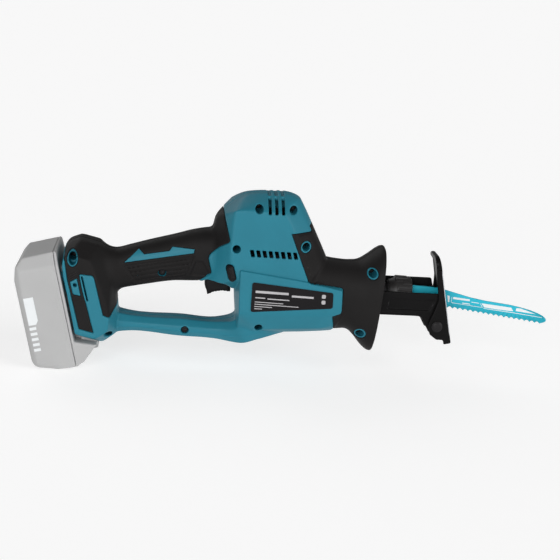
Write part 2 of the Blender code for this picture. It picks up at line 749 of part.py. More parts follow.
def make_gear_housing():
    """A casting round the crank: a plate above it and a barrel for the slider in front."""
    outline = rounded((
        (-121, -24, 8), (-90, -24, 8), (-70, -16, 6), (-70, 16, 6), (-90, 24, 8), (-121, 24, 8)))
    plate = prism("gear_housing", outline, "Z", 19.0, 28.0)
    bridge = box("bridge", (-76, -11, 18.2), (-53.9, 11, 21.5))
    front = box("front_wall", (-58.5, -17, -15.0), (-53.5, 17, 19))
    barrel = rod("barrel", "X", (0, 0), 13.5, -55, -14.5, 20)
    join(plate, bridge, front, barrel)
    cut(plate, rod("barrel_bore", "X", (0, 0), 10.3, -60, -10, 20))
    cut(plate, rod("shaft_bore", "Z", (CRANK_X, 0), 9.3, 10, 40, 16))
    cut(plate, rod("bearing_bore", "Z", (MOTOR_X, 0), 8.3, 10, 40, 16))
    finish_material(plate, ALUMINIUM, 0.45, 1.0)
    bearing = turned(
        "crank_bearing", ((20.0, 5.3), (20.0, 9.0), (27.0, 9.0), (27.0, 5.3)), "Z", (CRANK_X, 0), 16)
    finish_material(bearing, STEEL, 0.2, 1.0)
    for name, low, high in (("slider_bush_rear", -54, -44), ("slider_bush_front", -28, -15)):
        bush = turned(
            name, ((low, SLIDER_RADIUS + 0.3), (low, 10.0), (high, 10.0), (high, SLIDER_RADIUS + 0.3)),
            "X", (0, 0), 20)
        finish_material(bush, BRONZE, 0.35, 1.0)


def make_slider():
    """The plunger, with a cross slot for the crank pin and a seat for the blade."""
    middle = CRANK_X - CRANK_THROW
    slider = box("slider", (middle - 10.5, -19.0, -6.0), (middle + 11.0, 19.0, 6.0))
    join(slider, rod("plunger", "X", (0, 0), SLIDER_RADIUS, middle + 10, 1.0, 20))
    slot = prism(
        "yoke_slot", round_box((middle - YOKE_SLOT_HALF, -14.5), (middle + YOKE_SLOT_HALF, 14.5), 3.2),
        "Z", -20, 20)
    cut(slider, slot)
    finish_material(slider, STEEL, 0.25, 1.0)


def make_clamp():
    """The tool-less blade clamp: a slotted core and a lever sleeve that turns round it."""
    core = rod("blade_holder", "X", (0, 0), 9.0, 1.4, CLAMP_END - 1.0, 20)
    cut(core, box("blade_slot", (3.0, -1.0, -7.2), (40, 1.0, 7.2)))
    finish_material(core, DARK_STEEL, 0.35, 1.0)
    sleeve = turned(
        "clamp_sleeve",
        ((CLAMP_START, 9.4), (CLAMP_START, 10.6), (CLAMP_START + 6, CLAMP_RADIUS),
         (CLAMP_END - 1, CLAMP_RADIUS), (CLAMP_END, 11.0), (CLAMP_END, 9.4)),
        "X", (0, 0), 24)
    lever = prism("lever", ((-4.5, 10.8), (4.5, 10.8), (4.0, 14.2), (-4.0, 14.2)), "X", 8.5, 20.5)
    fin = box("fin", (8.5, -6.0, 10.0), (11.0, 6.0, 15.4))
    join(sleeve, lever, fin)
    finish_material(sleeve, BLACK_PLASTIC, 0.45)


def make_blade():
    """A pruning blade canted down a little, with raked teeth along its lower edge."""
    back = ((28, 5.4), (38, 5.0), (50, 3.9), (58, 2.2), (67, -0.2), (82, -4.1), (97, -6.8),
            (122, -9.9), (141, -14.3), (153, -19), (156.7, -22.4), (155.2, -25.2))
    tooth_start = Vector((60.5, -14.6))
    tooth_end = Vector((150.5, -26.6))
    count = 18
    run = (tooth_end - tooth_start) / count
    depth = Vector((run.y, -run.x)).normalized() * 1.7
    teeth = []
    for index in range(count):
        corner = tooth_end - run * index
        teeth.append(tuple(corner))
        teeth.append(tuple(corner - run * 0.72 - depth))
    shank = ((60.5, -14.6), (52, -9.5), (44, -6.4), (26, -5.4), (5, -5.4), (5, 5.4))
    blade = prism("blade", list(back) + teeth + list(shank), "Y", -0.65, 0.65)
    finish_material(blade, BLADE_BLUE, 0.35, 0.4)


# ---------------------------------------------------------------- shoe and lamp

def holder_wall(top):
    """The side view of one wall of the shoe holder, up to the given height."""
    pivot_x, pivot_z = SHOE_PIVOT
    end = circle(pivot_x, pivot_z, 6.5, 9, math.radians(20), math.radians(-190))
    front = [(-12, top), (49.9 - 0.38 * top, top), (53.6, -18)]
    return front + end + [(39.5, -31), (36, -24.6), (31, -21), (27, -20), (-12, -20)]


def make_shoe_holder():
    inner = HOLDER_HALF - HOLDER_WALL
    holder = prism("shoe_holder", holder_wall(1.8), "Y", -HOLDER_HALF, -inner)
    far = prism("far_wall", holder_wall(10.3), "Y", inner, HOLDER_HALF)
    floor = box("floor", (-12, -HOLDER_HALF + 0.4, -20), (30, HOLDER_HALF - 0.4, -18))
    join(holder, floor, far)
    cut(holder, rod("pin_hole", "Y", SHOE_PIVOT, 3.8, -30, 30, 12))
    finish_material(holder, BLACK_STEEL, 0.3, 0.6)


def make_shoe():
    """The work shoe: a slotted plate with a rim round it and two ears on the pivot."""
    face = rounded((
        (-SHOE_HALF, -18.5, 4), (SHOE_HALF, -18.5, 4), (SHOE_HALF, 66.5, 12), (-SHOE_HALF, 66.5, 12)), 5)
    shoe = prism("shoe", face, "X", -12, SHOE_FACE)
    flank = rounded((
        (13, -30), (13, 80), (8.4, 80), (8.0, 66, 6), (6.2, 54, 8), (4.6, 25, 8), (-1.2, 14.5, 6),
        (-7.6, 4, 4), (-7.6, -6.6, 5), (-2.0, -12.4, 3), (4.6, -14, 2), (4.8, -30)))
    keep(shoe, prism("flank", flank, "Y", -30, 30))
    cut(shoe, prism("far_trim", ((-20, 36), (7.4, 36), (8.4, 42), (8.4, 80), (-20, 80)), "Y", 5, 30))
    inner = SHOE_HALF - 2.4
    hollow = rounded(((-inner, -40), (inner, -40), (inner, 64.1, 9.6), (-inner, 64.1, 9.6)))
    cut(shoe, prism("hollow", hollow, "X", -30, SHOE_FACE - SHOE_PLATE))
    cut(shoe, prism("blade_slot", round_box((-3.6, 3), (3.6, 48), 3.5), "X", 0, 20))
    move_points(shoe, shoe_frame())
    cut(shoe, rod("pivot_hole", "Y", SHOE_PIVOT, 3.8, -30, 30, 12))
    finish_material(shoe, BLACK_STEEL, 0.28, 0.6)
    pin = turned(
        "shoe_pin",
        ((-19.8, 0), (-19.8, 4.4), (-18.3, 5.2), (-18.3, 3.5), (18.3, 3.5), (18.3, 5.2), (19.8, 4.4),
         (19.8, 0)),
        "Y", SHOE_PIVOT, 16)
    finish_material(pin, BLACK_STEEL, 0.35, 0.8)


def make_lamp():
    lens = box("lamp_lens", (-8.5, -5.0, -30.3), (-6.2, 5.0, -24.7))
    finish_material(lens, CLEAR, 0.1)
    board = box("lamp_board", (-12.0, -5.0, -30.3), (-8.8, 5.0, -24.7))
    finish_material(board, BOARD_GREEN, 0.5)


# ---------------------------------------------------------------- battery

def battery_slice(name, low_x, high_x):
    """The case between two depths from the interface, with rounded long edges."""
    side_view = rounded((
        (-42.2, -50, 9), (-42.2, 31, 8), (-38.5, 44, 8), (-31, 50.5, 4), (-0.3, 51.8, 2),
        (-0.3, -55.9, 2), (-20, -55.9, 6)), 5)
    whole = prism(name, side_view, "Y", -BATTERY_HALF, BATTERY_HALF)
    across = rounded((
        (-42.4, -BATTERY_HALF, 5), (10, -BATTERY_HALF), (10, BATTERY_HALF), (-42.4, BATTERY_HALF, 5)))
    keep(whole, prism("corners", across, "Z", -80, 80))
    return keep(whole, box("slice", (low_x, -60, -80), (high_x, 60, 80)))


def cell_space():
    """The hollow inside the battery case."""
    outline = (
        (-39.8, -44.5), (-39.8, 30.5), (-36.4, 42.5), (-30, 47.8), (-1.4, 49.2),
        (-1.4, -53.2), (-20, -53.2), (-34.5, -50.1))
    inner = BATTERY_HALF - BATTERY_WALL
    return prism("cell_space", outline, "Y", -inner, inner)


def make_battery():
    case = battery_slice("battery_case", -60, BATTERY_SEAM - GAP)
    cut(case, cell_space())
    finish_material(case, BATTERY_GREY, 0.5)
    cover = battery_slice("battery_cover", BATTERY_SEAM, 20)
    join(cover, box("neck", (-1, -20.7, -45), (6, 20.7, 34)))
    rails = box("rails", (5.2, -24.3, -30), (12.6, 24.3, 34))
    head = box("head", (5.2, -24.3, -30), (18.6, 24.3, 8))
    chin = prism(
        "chin", ((-2, -31.8), (18.9, -38.9), (5, -52.5), (-2, -55.7)), "Y", -BATTERY_HALF, BATTERY_HALF)
    spine = box("spine", (5.2, -24.3, -45), (18.6, 24.3, -29))
    join(cover, rails, head, chin, spine)
    cut(cover, cell_space())
    for side in (-1, 1):
        cut(cover, box("contact_slot", (4.5, side * 13 - 1.2, 12), (20, side * 13 + 1.2, 60)))
    latch_pocket = box("latch_pocket", (5.0, -12.3, -60), (16.5, 12.3, -38.6))
    cut(cover, latch_pocket)
    finish_material(cover, BATTERY_GREY, 0.5)
    cells = None
    for row in range(5):
        for layer in range(2):
            post = rod(
                "cell", "Y", (-29.4 + CELL_PITCH * layer, CELL_LOW + CELL_PITCH * row),
                9.1, -32.5, 32.5, 10)
            cells = post if cells is None else join(cells, post)
    join(cells, box("cell_frame", (-30, -30, -38), (-11, 30, 35)))
    cells.name = "cell_pack"
    finish_material(cells, ALUMINIUM, 0.5, 0.5)
    button = prism(
        "battery_button", ((6.5, -42.2), (15.6, -42.2), (14.0, -44.4), (6.5, -50.5)), "Y", -12.0, 12.0)
    finish_material(button, BATTERY_GREY, 0.5)
    for piece in (case, cover, cells, button):
        move_points(piece, battery_frame())


def make_terminal_block():
    block = box("terminal_block", (13.4, -22, 9.2), (RECESS_DEPTH - GAP, 22, 35))
    for side in (-1, 1):
        tab = box("tab", (6.2, side * 13 - 0.5, 16), (14.0, side * 13 + 0.5, 28))
        join(block, tab)
    move_points(block, battery_frame())
    finish_material(block, BLACK_PLASTIC, 0.5)


# ---------------------------------------------------------------- assembly

def hang_from_row_origin():
    """Parents every piece to one empty that shifts the saw frame to the row's origin."""
    frame = bpy.data.objects.new("saw_frame", None)
    bpy.context.scene.collection.objects.link(frame)
    frame.location = [-value * MM for value in ROW_ORIGIN]
    for item in bpy.data.objects:
        if item.type == "MESH":
            item.parent = frame


def put_origin(name, point):
    """Moves an object's origin to a point of the saw frame, leaving its surface in place."""
    item = bpy.data.objects[name]
    shift = Vector(point) * MM
    item.data.transform(Matrix.Translation(-shift))
    item.location = shift


def place_pivots():
    crank = (CRANK_X, 0.0, GEAR_LOW)
    motor = (MOTOR_X, 0.0, GEAR_LOW)
    shoe = (SHOE_PIVOT[0], 0.0, SHOE_PIVOT[1])
    for name, point in (
            ("crank_gear", crank), ("crank_pin", crank), ("pinion", motor), ("rotor", motor),
            ("cooling_fan", motor), ("clamp_sleeve", (0.0, 0.0, 0.0)), ("shoe", shoe)):
        put_origin(name, point)


def shade():
    for item in bpy.data.objects:
        if item.type == "MESH":
            item.data.shade_smooth()
            item.data.set_sharp_from_angle(angle=math.radians(32))


def main():
    clear_scene()
    make_housing()
    make_housing_screws()
    make_nameplates()
    make_lock_button()
    make_trigger()
    make_switch()
    make_leads()
    make_controller()
    make_gears()
    make_motor()
    make_gear_housing()
    make_slider()
    make_clamp()
    make_blade()
    make_shoe_holder()
    make_shoe()
    make_lamp()
    make_battery()
    make_terminal_block()
    place_pivots()
    shade()
    hang_from_row_origin()


main()
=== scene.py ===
"""Looks for the cordless reciprocating saw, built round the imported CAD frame.

Shapes are sampled as distance fields on grids, in millimetres of the saw frame: X along the
blade's stroke with the blade towards +X, Z up, Y across with the saw's right side at -Y, and
the origin on the stroke axis at the front flange. place() turns them into metres of the row.
"""
import functools
import itertools
import json
import math

import bmesh
import bpy
import numpy as np
from mathutils import Matrix, Vector


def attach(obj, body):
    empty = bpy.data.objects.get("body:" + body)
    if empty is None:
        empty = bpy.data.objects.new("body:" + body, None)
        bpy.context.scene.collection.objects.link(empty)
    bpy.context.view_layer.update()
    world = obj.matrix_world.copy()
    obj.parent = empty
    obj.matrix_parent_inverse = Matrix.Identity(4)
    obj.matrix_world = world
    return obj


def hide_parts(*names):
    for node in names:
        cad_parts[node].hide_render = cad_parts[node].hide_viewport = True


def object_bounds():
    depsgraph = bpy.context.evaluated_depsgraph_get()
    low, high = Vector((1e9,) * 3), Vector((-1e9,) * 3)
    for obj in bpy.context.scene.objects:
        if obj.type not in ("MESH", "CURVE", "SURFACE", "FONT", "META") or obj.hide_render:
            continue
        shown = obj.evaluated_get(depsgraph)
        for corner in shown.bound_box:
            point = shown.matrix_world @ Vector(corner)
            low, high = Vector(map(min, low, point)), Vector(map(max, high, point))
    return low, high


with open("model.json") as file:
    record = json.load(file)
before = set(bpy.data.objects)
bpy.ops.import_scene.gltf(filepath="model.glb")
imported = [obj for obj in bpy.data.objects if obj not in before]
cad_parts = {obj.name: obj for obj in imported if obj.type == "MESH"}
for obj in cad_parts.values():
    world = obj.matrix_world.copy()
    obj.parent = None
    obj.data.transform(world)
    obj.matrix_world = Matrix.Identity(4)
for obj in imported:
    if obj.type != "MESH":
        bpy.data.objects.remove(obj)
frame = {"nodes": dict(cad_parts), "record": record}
CAD_BOX = [list(corner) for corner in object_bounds()]

MM = 0.001
ROW_ORIGIN = (-90.9, 0, 4.5)
FAR = 30                        # a distance that stands for "nowhere near"

# ---- places shared with the CAD

INTERFACE_POINT = (-290.5, -20)
INTERFACE_LEAN = math.radians(12.7)
RECESS_DEPTH = 19.4
RECESS_TOP = 36
SHOE_PIVOT = (48.9, -29.1)
SHOE_LEAN = math.radians(11.5)
SHOE_HALF = 18
SHOE_FACE = 12.2
SHOE_PLATE = 3
BATTERY_HALF = 37.4
BATTERY_SEAM = -2.8
CROWN_TOP = 87.78
FLANK_LIMIT = 38.5
WELL_RADIUS = 3.7
WELL_FLOOR = 9
SHELL_WALL = 3.4
COVER_WALL = 1.4
SEAM = 0.15                     # half the gap between the two halves

SCREWS = {
    "rear_top": (-287, 24.7), "grip": (-207.5, 10.4), "body_rear": (-142.1, 40.2),
    "top_rear": (-123.6, 76.6), "top_front": (-92.4, 75.8), "front_slope": (-79.3, 43.5),
    "flange_top": (-16.4, 20.8), "flange_bottom": (-23.6, -36.5), "lower_bar": (-184.6, -43.2),
    "lower_body": (-117.8, -33.9), "rear_foot": (-254, -46),
}
RING_RADIUS = {"front_slope": 5, "flange_top": 4.8, "flange_bottom": 4.9}

REAR_RING = (4.6, 6.9)          # the oval ring round the rear top screw
RING_WALL = 0.9
GRIP_REGION = [
    (-330, 95), (-300, 60), (-291.2, 6), (-279.8, -39.6), (-266.6, -42.9), (-270.5, -28.9),
    (-274.4, -14.5), (-276.5, -8.2), (-278.3, -1), (-280.6, 9.9), (-279.9, 10.9), (-269.3, 10.1),
    (-267.5, 7.8), (-258.7, -26), (-252.8, -28.5), (-246.3, -19.3), (-236, -14), (-180, -8),
    (-172.6, 4.5), (-163.7, 12.5), (-162.9, 13.9), (-166.1, 27.1), (-164.7, 31), (-155.9, 39.9),
    (-149.3, 44.9), (-148, 47.2), (-153.2, 66.2), (-155.5, 77), (-160, 95),
]
NOSE_REGION = [
    (-60, 95), (-68, 61.5), (-75.5, 56), (-91.5, 55.8), (-93.6, 56), (-83.7, 32.2),
    (-75.5, 12.3), (-73.1, 10.9), (-44.8, 6.7), (-42.9, 5.5), (-43.2, -14.7), (-44.2, -16.8),
    (-51.3, -19.5), (-44.5, -50), (-44.5, -70), (20, -70), (20, 95),
]
CROWN_REGION = [(-84, 53), (-75, 61.5), (-60, 68), (-60, 45), (-84, 45)]
CROWN_HALF = 17
FLANK_SLOPE = 0.045             # how the label's flank narrows towards the nose
LOCK_SLOT = ((-144.6, 13.6), (-147, 22.2))
LOCK_RADIUS = 3.3
TRIGGER_ARCH = [
    (-190, -30), (-140.9, -30), (-140.9, -7), (-143.2, -2.8), (-145.4, 1.2), (-149, 4.2),
    (-153.5, 5.6), (-160.5, 6.5), (-165.6, 6.3), (-169.2, 4.2), (-171.6, 1.6), (-174.5, 0),
    (-190, -3),
]
SIDES = ((-1, "right"), (1, "left"))
MINI_PANEL = [(-288.6, 3.5), (-282.7, 7), (-279, -8.9), (-285.7, -7.5)]
STRAP_HOLE = (-284.3, 0.9)
ARROW = [
    (-242.1, 18.8), (-229.3, 31.3), (-224.4, 27.1), (-201.8, 31.4), (-198.9, 35.3),
    (-179, 34.2), (-179.7, 30.6),
]
LOUVRE_PITCH = 4.3
TOOTH_COUNT = 18
RIB_PANEL = [(-241.4, 15.6), (-230.9, 0.8), (-187.4, 7.6), (-179.6, 27.8)]
THUMB_PANEL = [(-177.8, 23.8), (-170.9, 24), (-163.6, 11.4), (-165.6, 8.6), (-183, 9)]
SHOULDER = [(-88.5, 54.6), (-72.6, 55.6), (-58.8, 27.6), (-70.6, 14.2), (-73, 14.2)]


def battery_frame():
    x, z = INTERFACE_POINT
    return Matrix.Translation((x, 0, z)) @ Matrix.Rotation(-INTERFACE_LEAN, 4, "Y")


def shoe_frame():
    x, z = SHOE_PIVOT
    return Matrix.Translation((x, 0, z)) @ Matrix.Rotation(-SHOE_LEAN, 4, "Y")


# ---- distance fields

class Grid:
    """A box of space, sampled every step millimetres."""

    def __init__(self, low, high, step):
        self.low = np.array(low, np.float32)
        self.step = step
        axes = []
        for start, end in zip(low, high):
            count = int(math.ceil((end - start) / step)) + 1
            axes.append((start + step * np.arange(count)).astype(np.float32))
        self.x = axes[0][:, None, None]
        self.y = axes[1][None, :, None]
        self.z = axes[2][None, None, :]
        self.shape = tuple(len(axis) for axis in axes)

    def window(self, low_x, high_x):
        """The part of the grid between two values of x, as a grid and a slice."""
        xs = self.x[:, 0, 0]
        first = int(np.searchsorted(xs, low_x))
        last = int(np.searchsorted(xs, high_x))
        part = object.__new__(Grid)
        part.low, part.step = self.low, self.step
        part.x, part.y, part.z = self.x[first:last], self.y, self.z
        part.shape = (last - first,) + self.shape[1:]
        return part, slice(first, last)

    def spread(self, span, values):
        """A window's values as a field of the whole grid, with nothing elsewhere."""
        whole = np.full(self.shape, FAR, np.float32)
        whole[span] = values
        return whole

    def outline(self, corners):
        return outline_distance(self.x, self.z, corners)

    def box(self, low, high):
        return boxed(self.x, self.y, self.z, low, high)

    def slot(self, start, end, radius):
        return capsule(self.x, self.z, start, end, radius)

    def around(self, x, z):
        """Distance from an axis across the saw."""
        return np.sqrt((self.x - x) ** 2 + (self.z - z) ** 2)


def smooth_max(a, b, width):
    blend = np.maximum(width - np.abs(a - b), 0) / width
    return np.maximum(a, b) + blend * blend * np.float32(width * 0.25)


def smooth_min(a, b, width):
    return -smooth_max(-a, -b, width)


def carve(form, hole, width):
    """The form less the hole, its new edge rounded over about the given width."""
    return smooth_max(form, -hole, width)


def overlap(*forms):
    """What all the forms share, sharp-edged."""
    return functools.reduce(np.maximum, forms)


def step_up(value, width):
    """0 where value is under 0, 1 where it is over width, smooth between."""
    t = np.clip(value / width, 0, 1)
    return t * t * (3 - 2 * t)


def hull_planes(points):
    """The planes of a convex hull: unit normals and distances, without repeats."""
    mesh = bmesh.new()
    for point in points:
        mesh.verts.new(point)
    made = bmesh.ops.convex_hull(mesh, input=mesh.verts[:])
    planes = {}
    for face in made["geom"]:
        if isinstance(face, bmesh.types.BMFace):
            normal = face.normal.copy()
            distance = normal.dot(face.verts[0].co)
            key = tuple(round(value, 2) for value in (*normal, distance * 0.2))
            planes[key] = (*normal, distance)
    mesh.free()
    middle = sum((Vector(point) for point in points), Vector()) / len(points)
    kept = []
    for nx, ny, nz, distance in planes.values():
        if nx * middle.x + ny * middle.y + nz * middle.z > distance:
            nx, ny, nz, distance = -nx, -ny, -nz, -distance
        kept.append((nx, ny, nz, distance))
    return sorted(kept)


def convex(grid, width, *outlines):
    """A convex form round outlines of the side view, each with its half width, its edges rounded."""
    points = []
    for half_width, outline in outlines:
        for x, z in outline:
            half = half_width(x) if callable(half_width) else half_width
            points += [(x, -half, z), (x, half, z)]
    xs = [point[0] for point in points]
    part, span = grid.window(min(xs) - 8, max(xs) + 8)
    form = None
    for nx, ny, nz, distance in np.float32(hull_planes(points)):
        plane = part.x * nx + part.y * ny + (part.z * nz - distance)
        form = plane if form is None else smooth_max(form, plane, width)
    return grid.spread(span, form)


def curves(sections, at):
    """Smooth values of each column of the sections at given x, through every section."""
    table = np.array(sections, float)
    xs = table[:, 0]
    at = np.clip(at, xs[0], xs[-1])
    index = np.clip(np.searchsorted(xs, at, side="right") - 1, 0, len(xs) - 2)
    span = xs[index + 1] - xs[index]
    t = (at - xs[index]) / span
    rise = t * t * (3 - 2 * t)
    columns = []
    for values in table.T[1:]:
        slopes = np.gradient(values, xs)
        mixed = values[index] * (1 - rise) + values[index + 1] * rise
        mixed += span * t * (1 - t) * ((1 - t) * slopes[index] - t * slopes[index + 1])
        columns.append(mixed.astype(np.float32))
    return columns


def boxed(x, y, z, low, high):
    """Distance from an upright box, sharp-edged."""
    return overlap(low[0] - x, x - high[0], low[1] - y, y - high[1], low[2] - z, z - high[2])


def oval(u, v, half_u, half_v, exponent):
    """Distance, to first order, from a superellipse."""
    pu = (np.abs(u) / half_u) ** (exponent - 1)
    pv = (np.abs(v) / half_v) ** (exponent - 1)
    size = (pu * np.abs(u) / half_u + pv * np.abs(v) / half_v + 1e-9) ** (1 / exponent)
    slope = size ** (1 - exponent) * np.sqrt((pu / half_u) ** 2 + (pv / half_v) ** 2 + 1e-12)
    return (size - 1) / slope


def edge_gap(px, pz, start, end):
    """Squared distance from a straight edge in the side view."""
    ex, ez = end[0] - start[0], end[1] - start[1]
    wx, wz = px - start[0], pz - start[1]
    t = np.clip((wx * ex + wz * ez) / (ex * ex + ez * ez), 0, 1)
    return (wx - ex * t) ** 2 + (wz - ez * t) ** 2


def capsule(px, pz, start, end, radius):
    """Distance from a round-ended slot in the side view."""
    return np.sqrt(edge_gap(px, pz, start, end)) - radius


def outline_distance(px, pz, outline):
    """Signed distance from a closed outline in the side view, negative inside."""
    gaps = []
    inside = False
    for start, end in zip(outline, (*outline[1:], outline[0])):
        gaps.append(edge_gap(px, pz, start, end))
        rise = end[1] - start[1]
        if rise:
            slope = (end[0] - start[0]) / rise
            crosses = ((pz >= start[1]) != (pz >= end[1])) & (px - start[0] < (pz - start[1]) * slope)
            inside = inside ^ crosses
    best = np.sqrt(functools.reduce(np.minimum, gaps))
    return np.where(inside, -best, best).astype(np.float32)


def sample(values, low, step, points):
    """Values of a field between its grid points."""
    scaled = (points - low) / step
    top = np.array(values.shape) - 2
    base = np.clip(np.floor(scaled).astype(np.int64), 0, top)
    part = (scaled - base).astype(np.float32)
    total = np.zeros(len(points), np.float32)
    for corner in itertools.product((0, 1), repeat=3):
        weight = np.prod(np.where(corner, part, 1 - part), axis=1)
        total += weight * values[tuple((base + corner).T)]
    return total


def skin(values, grid):
    """The field's zero surface as points and four-sided faces, by surface nets."""
    values = np.pad(values, 1, constant_values=FAR)
    inside = values < 0
    nx, ny, nz = values.shape
    total = np.zeros((nx - 1, ny - 1, nz - 1), np.int8)
    for dx, dy, dz in itertools.product((0, 1), repeat=3):
        total += inside[dx:nx - 1 + dx, dy:ny - 1 + dy, dz:nz - 1 + dz]
    cells = np.argwhere((total > 0) & (total < 8))
    number = np.full(total.shape, -1, np.int32)
    number[tuple(cells.T)] = np.arange(len(cells))
    sums = np.zeros((len(cells), 3))
    counts = np.zeros(len(cells))
    for axis in range(3):
        along = np.eye(3, dtype=int)[axis]
        for pair in itertools.product((0, 1), repeat=2):
            corner = np.insert(np.array(pair), axis, 0)
            start = values[tuple((cells + corner).T)].astype(float)
            end = values[tuple((cells + corner + along).T)].astype(float)
            cross = (start < 0) != (end < 0)
            t = start[cross] / (start[cross] - end[cross])
            sums[cross] += corner + t[:, None] * along
            counts[cross] += 1
    points = (cells + sums / counts[:, None] - 1) * grid.step + grid.low
    faces = []
    for axis in range(3):
        one, two = (axis + 1) % 3, (axis + 2) % 3
        near = [slice(None)] * 3
        far = [slice(None)] * 3
        near[axis], far[axis] = slice(0, -1), slice(1, None)
        change = inside[tuple(near)] != inside[tuple(far)]
        spots = np.argwhere(change)
        for side in (one, two):
            spots = spots[(spots[:, side] > 0) & (spots[:, side] < values.shape[side] - 1)]
        quads = []
        for back_one, back_two in ((1, 1), (0, 1), (0, 0), (1, 0)):
            corner = spots.copy()
            corner[:, one] -= back_one
            corner[:, two] -= back_two
            quads.append(number[tuple(corner.T)])
        quads = np.stack(quads, 1)
        flip = ~inside[tuple(spots.T)]
        quads[flip] = quads[flip][:, ::-1]
        faces.append(quads)
    faces = np.concatenate(faces)
    faces = faces[(faces >= 0).all(1)]
    level_at = functools.partial(sample, values, grid.low - grid.step, grid.step)
    for _ in range(2):
        level = level_at(points)
        slope = np.zeros_like(points)
        for axis in range(3):
            move = np.zeros(3)
            move[axis] = grid.step * 0.5
            slope[:, axis] = (level_at(points + move) - level_at(points - move)) / grid.step
        size = np.maximum((slope ** 2).sum(1), 0.15)
        shift = -slope * (level / size)[:, None]
        length = np.linalg.norm(shift, axis=1)
        limit = np.minimum(1, grid.step * 0.5 / np.maximum(length, 1e-6))
        points = points + shift * limit[:, None]
    return points, faces


# ---- meshes

def place(points):
    """Saw-frame millimetres to row metres."""
    return (np.asarray(points, float) - np.array(ROW_ORIGIN)) * MM


def linked(name, data):
    item = bpy.data.objects.new(name, data)
    bpy.context.scene.collection.objects.link(item)
    return item


def mesh_object(name, points, faces, look):
    """An object from row-metre points and faces that all have the same number of corners."""
    mesh = bpy.data.meshes.new(name)
    faces = np.asarray(faces, np.int32)
    mesh.vertices.add(len(points))
    mesh.vertices.foreach_set("co", np.asarray(points, np.float32).ravel())
    mesh.loops.add(faces.size)
    mesh.loops.foreach_set("vertex_index", faces.ravel())
    mesh.polygons.add(len(faces))
    mesh.polygons.foreach_set("loop_start", np.arange(0, faces.size, faces.shape[1], dtype=np.int32))
    mesh.update(calc_edges=True)
    mesh.validate()
    mesh.polygons.foreach_set("use_smooth", np.ones(len(mesh.polygons), bool))
    mesh.materials.append(look)
    return linked(name, mesh)


def thin_out(item, ratio):
    """Applies a decimation, keeping the look of the surface."""
    modifier = item.modifiers.new("thin", "DECIMATE")
    modifier.ratio = ratio
    modifier.use_collapse_triangulate = True
    graph = bpy.context.evaluated_depsgraph_get()
    mesh = bpy.data.meshes.new_from_object(item.evaluated_get(graph))
    item.modifiers.clear()
    old = item.data
    item.data = mesh
    mesh.name = old.name
    bpy.data.meshes.remove(old)
    mesh.polygons.foreach_set("use_smooth", np.ones(len(mesh.polygons), bool))


def register(item, body, slot, *replaced):
    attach(item, body)
    if replaced:
        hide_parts(*replaced)


def finished(name, mesh, look, role):
    """A piece from a bmesh, smooth except at its sharp edges; role is what register() takes."""
    data = bpy.data.meshes.new(name)
    bmesh.ops.recalc_face_normals(mesh, faces=mesh.faces)
    mesh.to_mesh(data)
    mesh.free()
    data.shade_smooth()
    data.set_sharp_from_angle(angle=math.radians(35))
    data.materials.append(look)
    register(linked(name, data), *role)


def rounded(corners, steps=5):
    """An outline whose corners (u, v, radius) are arcs."""
    outline = []
    for index, corner in enumerate(corners):
        here = Vector(corner[:2])
        radius = corner[2] if len(corner) > 2 else 0
        if not radius:
            outline.append(tuple(here))
            continue
        before = (Vector(corners[index - 1][:2]) - here).normalized()
        after = (Vector(corners[(index + 1) % len(corners)][:2]) - here).normalized()
        half = before.angle(after) / 2
        centre = here + (before + after).normalized() * radius / math.sin(half)
        first = here + before * radius / math.tan(half) - centre
        swing = first.angle_signed(here + after * radius / math.tan(half) - centre)
        for step in range(steps):
            spoke = first.copy()
            spoke.rotate(Matrix.Rotation(-swing * step / (steps - 1), 2))
            outline.append(tuple(centre + spoke))
    return outline


def bridge(mesh, one, two):
    """Faces between two closed rings, either of which may be a single point."""
    count = max(len(one), len(two))
    for index in range(count):
        following = (index + 1) % count
        corners = [one[index % len(one)], one[following % len(one)],
                   two[following % len(two)], two[index % len(two)]]
        mesh.faces.new(list(dict.fromkeys(corners)))


def add_plate(mesh, outline, near, far, bevel):
    rings = []
    for across in (near, far):
        heights = [across(x) if callable(across) else across for x, _ in outline]
        rings.append([mesh.verts.new(place((x, y, z))) for (x, z), y in zip(outline, heights)])
    faces = [mesh.faces.new(rings[0]), mesh.faces.new(rings[1])]
    bridge(mesh, *rings)
    if bevel:
        edges = [edge for face in faces for edge in face.edges]
        bmesh.ops.bevel(mesh, geom=edges, offset=bevel * MM, segments=2, affect="EDGES")


def plates(name, outlines, near, far, look, *role, bevel=0):
    """Flat shapes drawn in the side view, between two values (or functions of x) of y."""
    mesh = bmesh.new()
    for outline in outlines:
        add_plate(mesh, outline, near, far, bevel)
    finished(name, mesh, look, role)


def add_ring(mesh, centre, one, two, radius, count):
    """A ring of corners in the plane of two directions, or one corner when it has no radius."""
    ring = []
    for index in range(count if radius else 1):
        angle = 2 * math.pi * index / count
        spoke = one * math.cos(angle) + two * math.sin(angle)
        ring.append(mesh.verts.new(place(centre + spoke * radius)))
    return ring


def lathe(name, profile, centre, look, *role):
    """A solid turned about an axis along Y; the profile gives (y, radius)."""
    mesh = bmesh.new()
    one, two = Vector((1, 0, 0)), Vector((0, 0, 1))
    rings = [add_ring(mesh, Vector((centre[0], along, centre[1])), one, two, radius, 48)
             for along, radius in profile]
    for near, far in zip(rings, rings[1:]):
        bridge(mesh, near, far)
    finished(name, mesh, look, role)


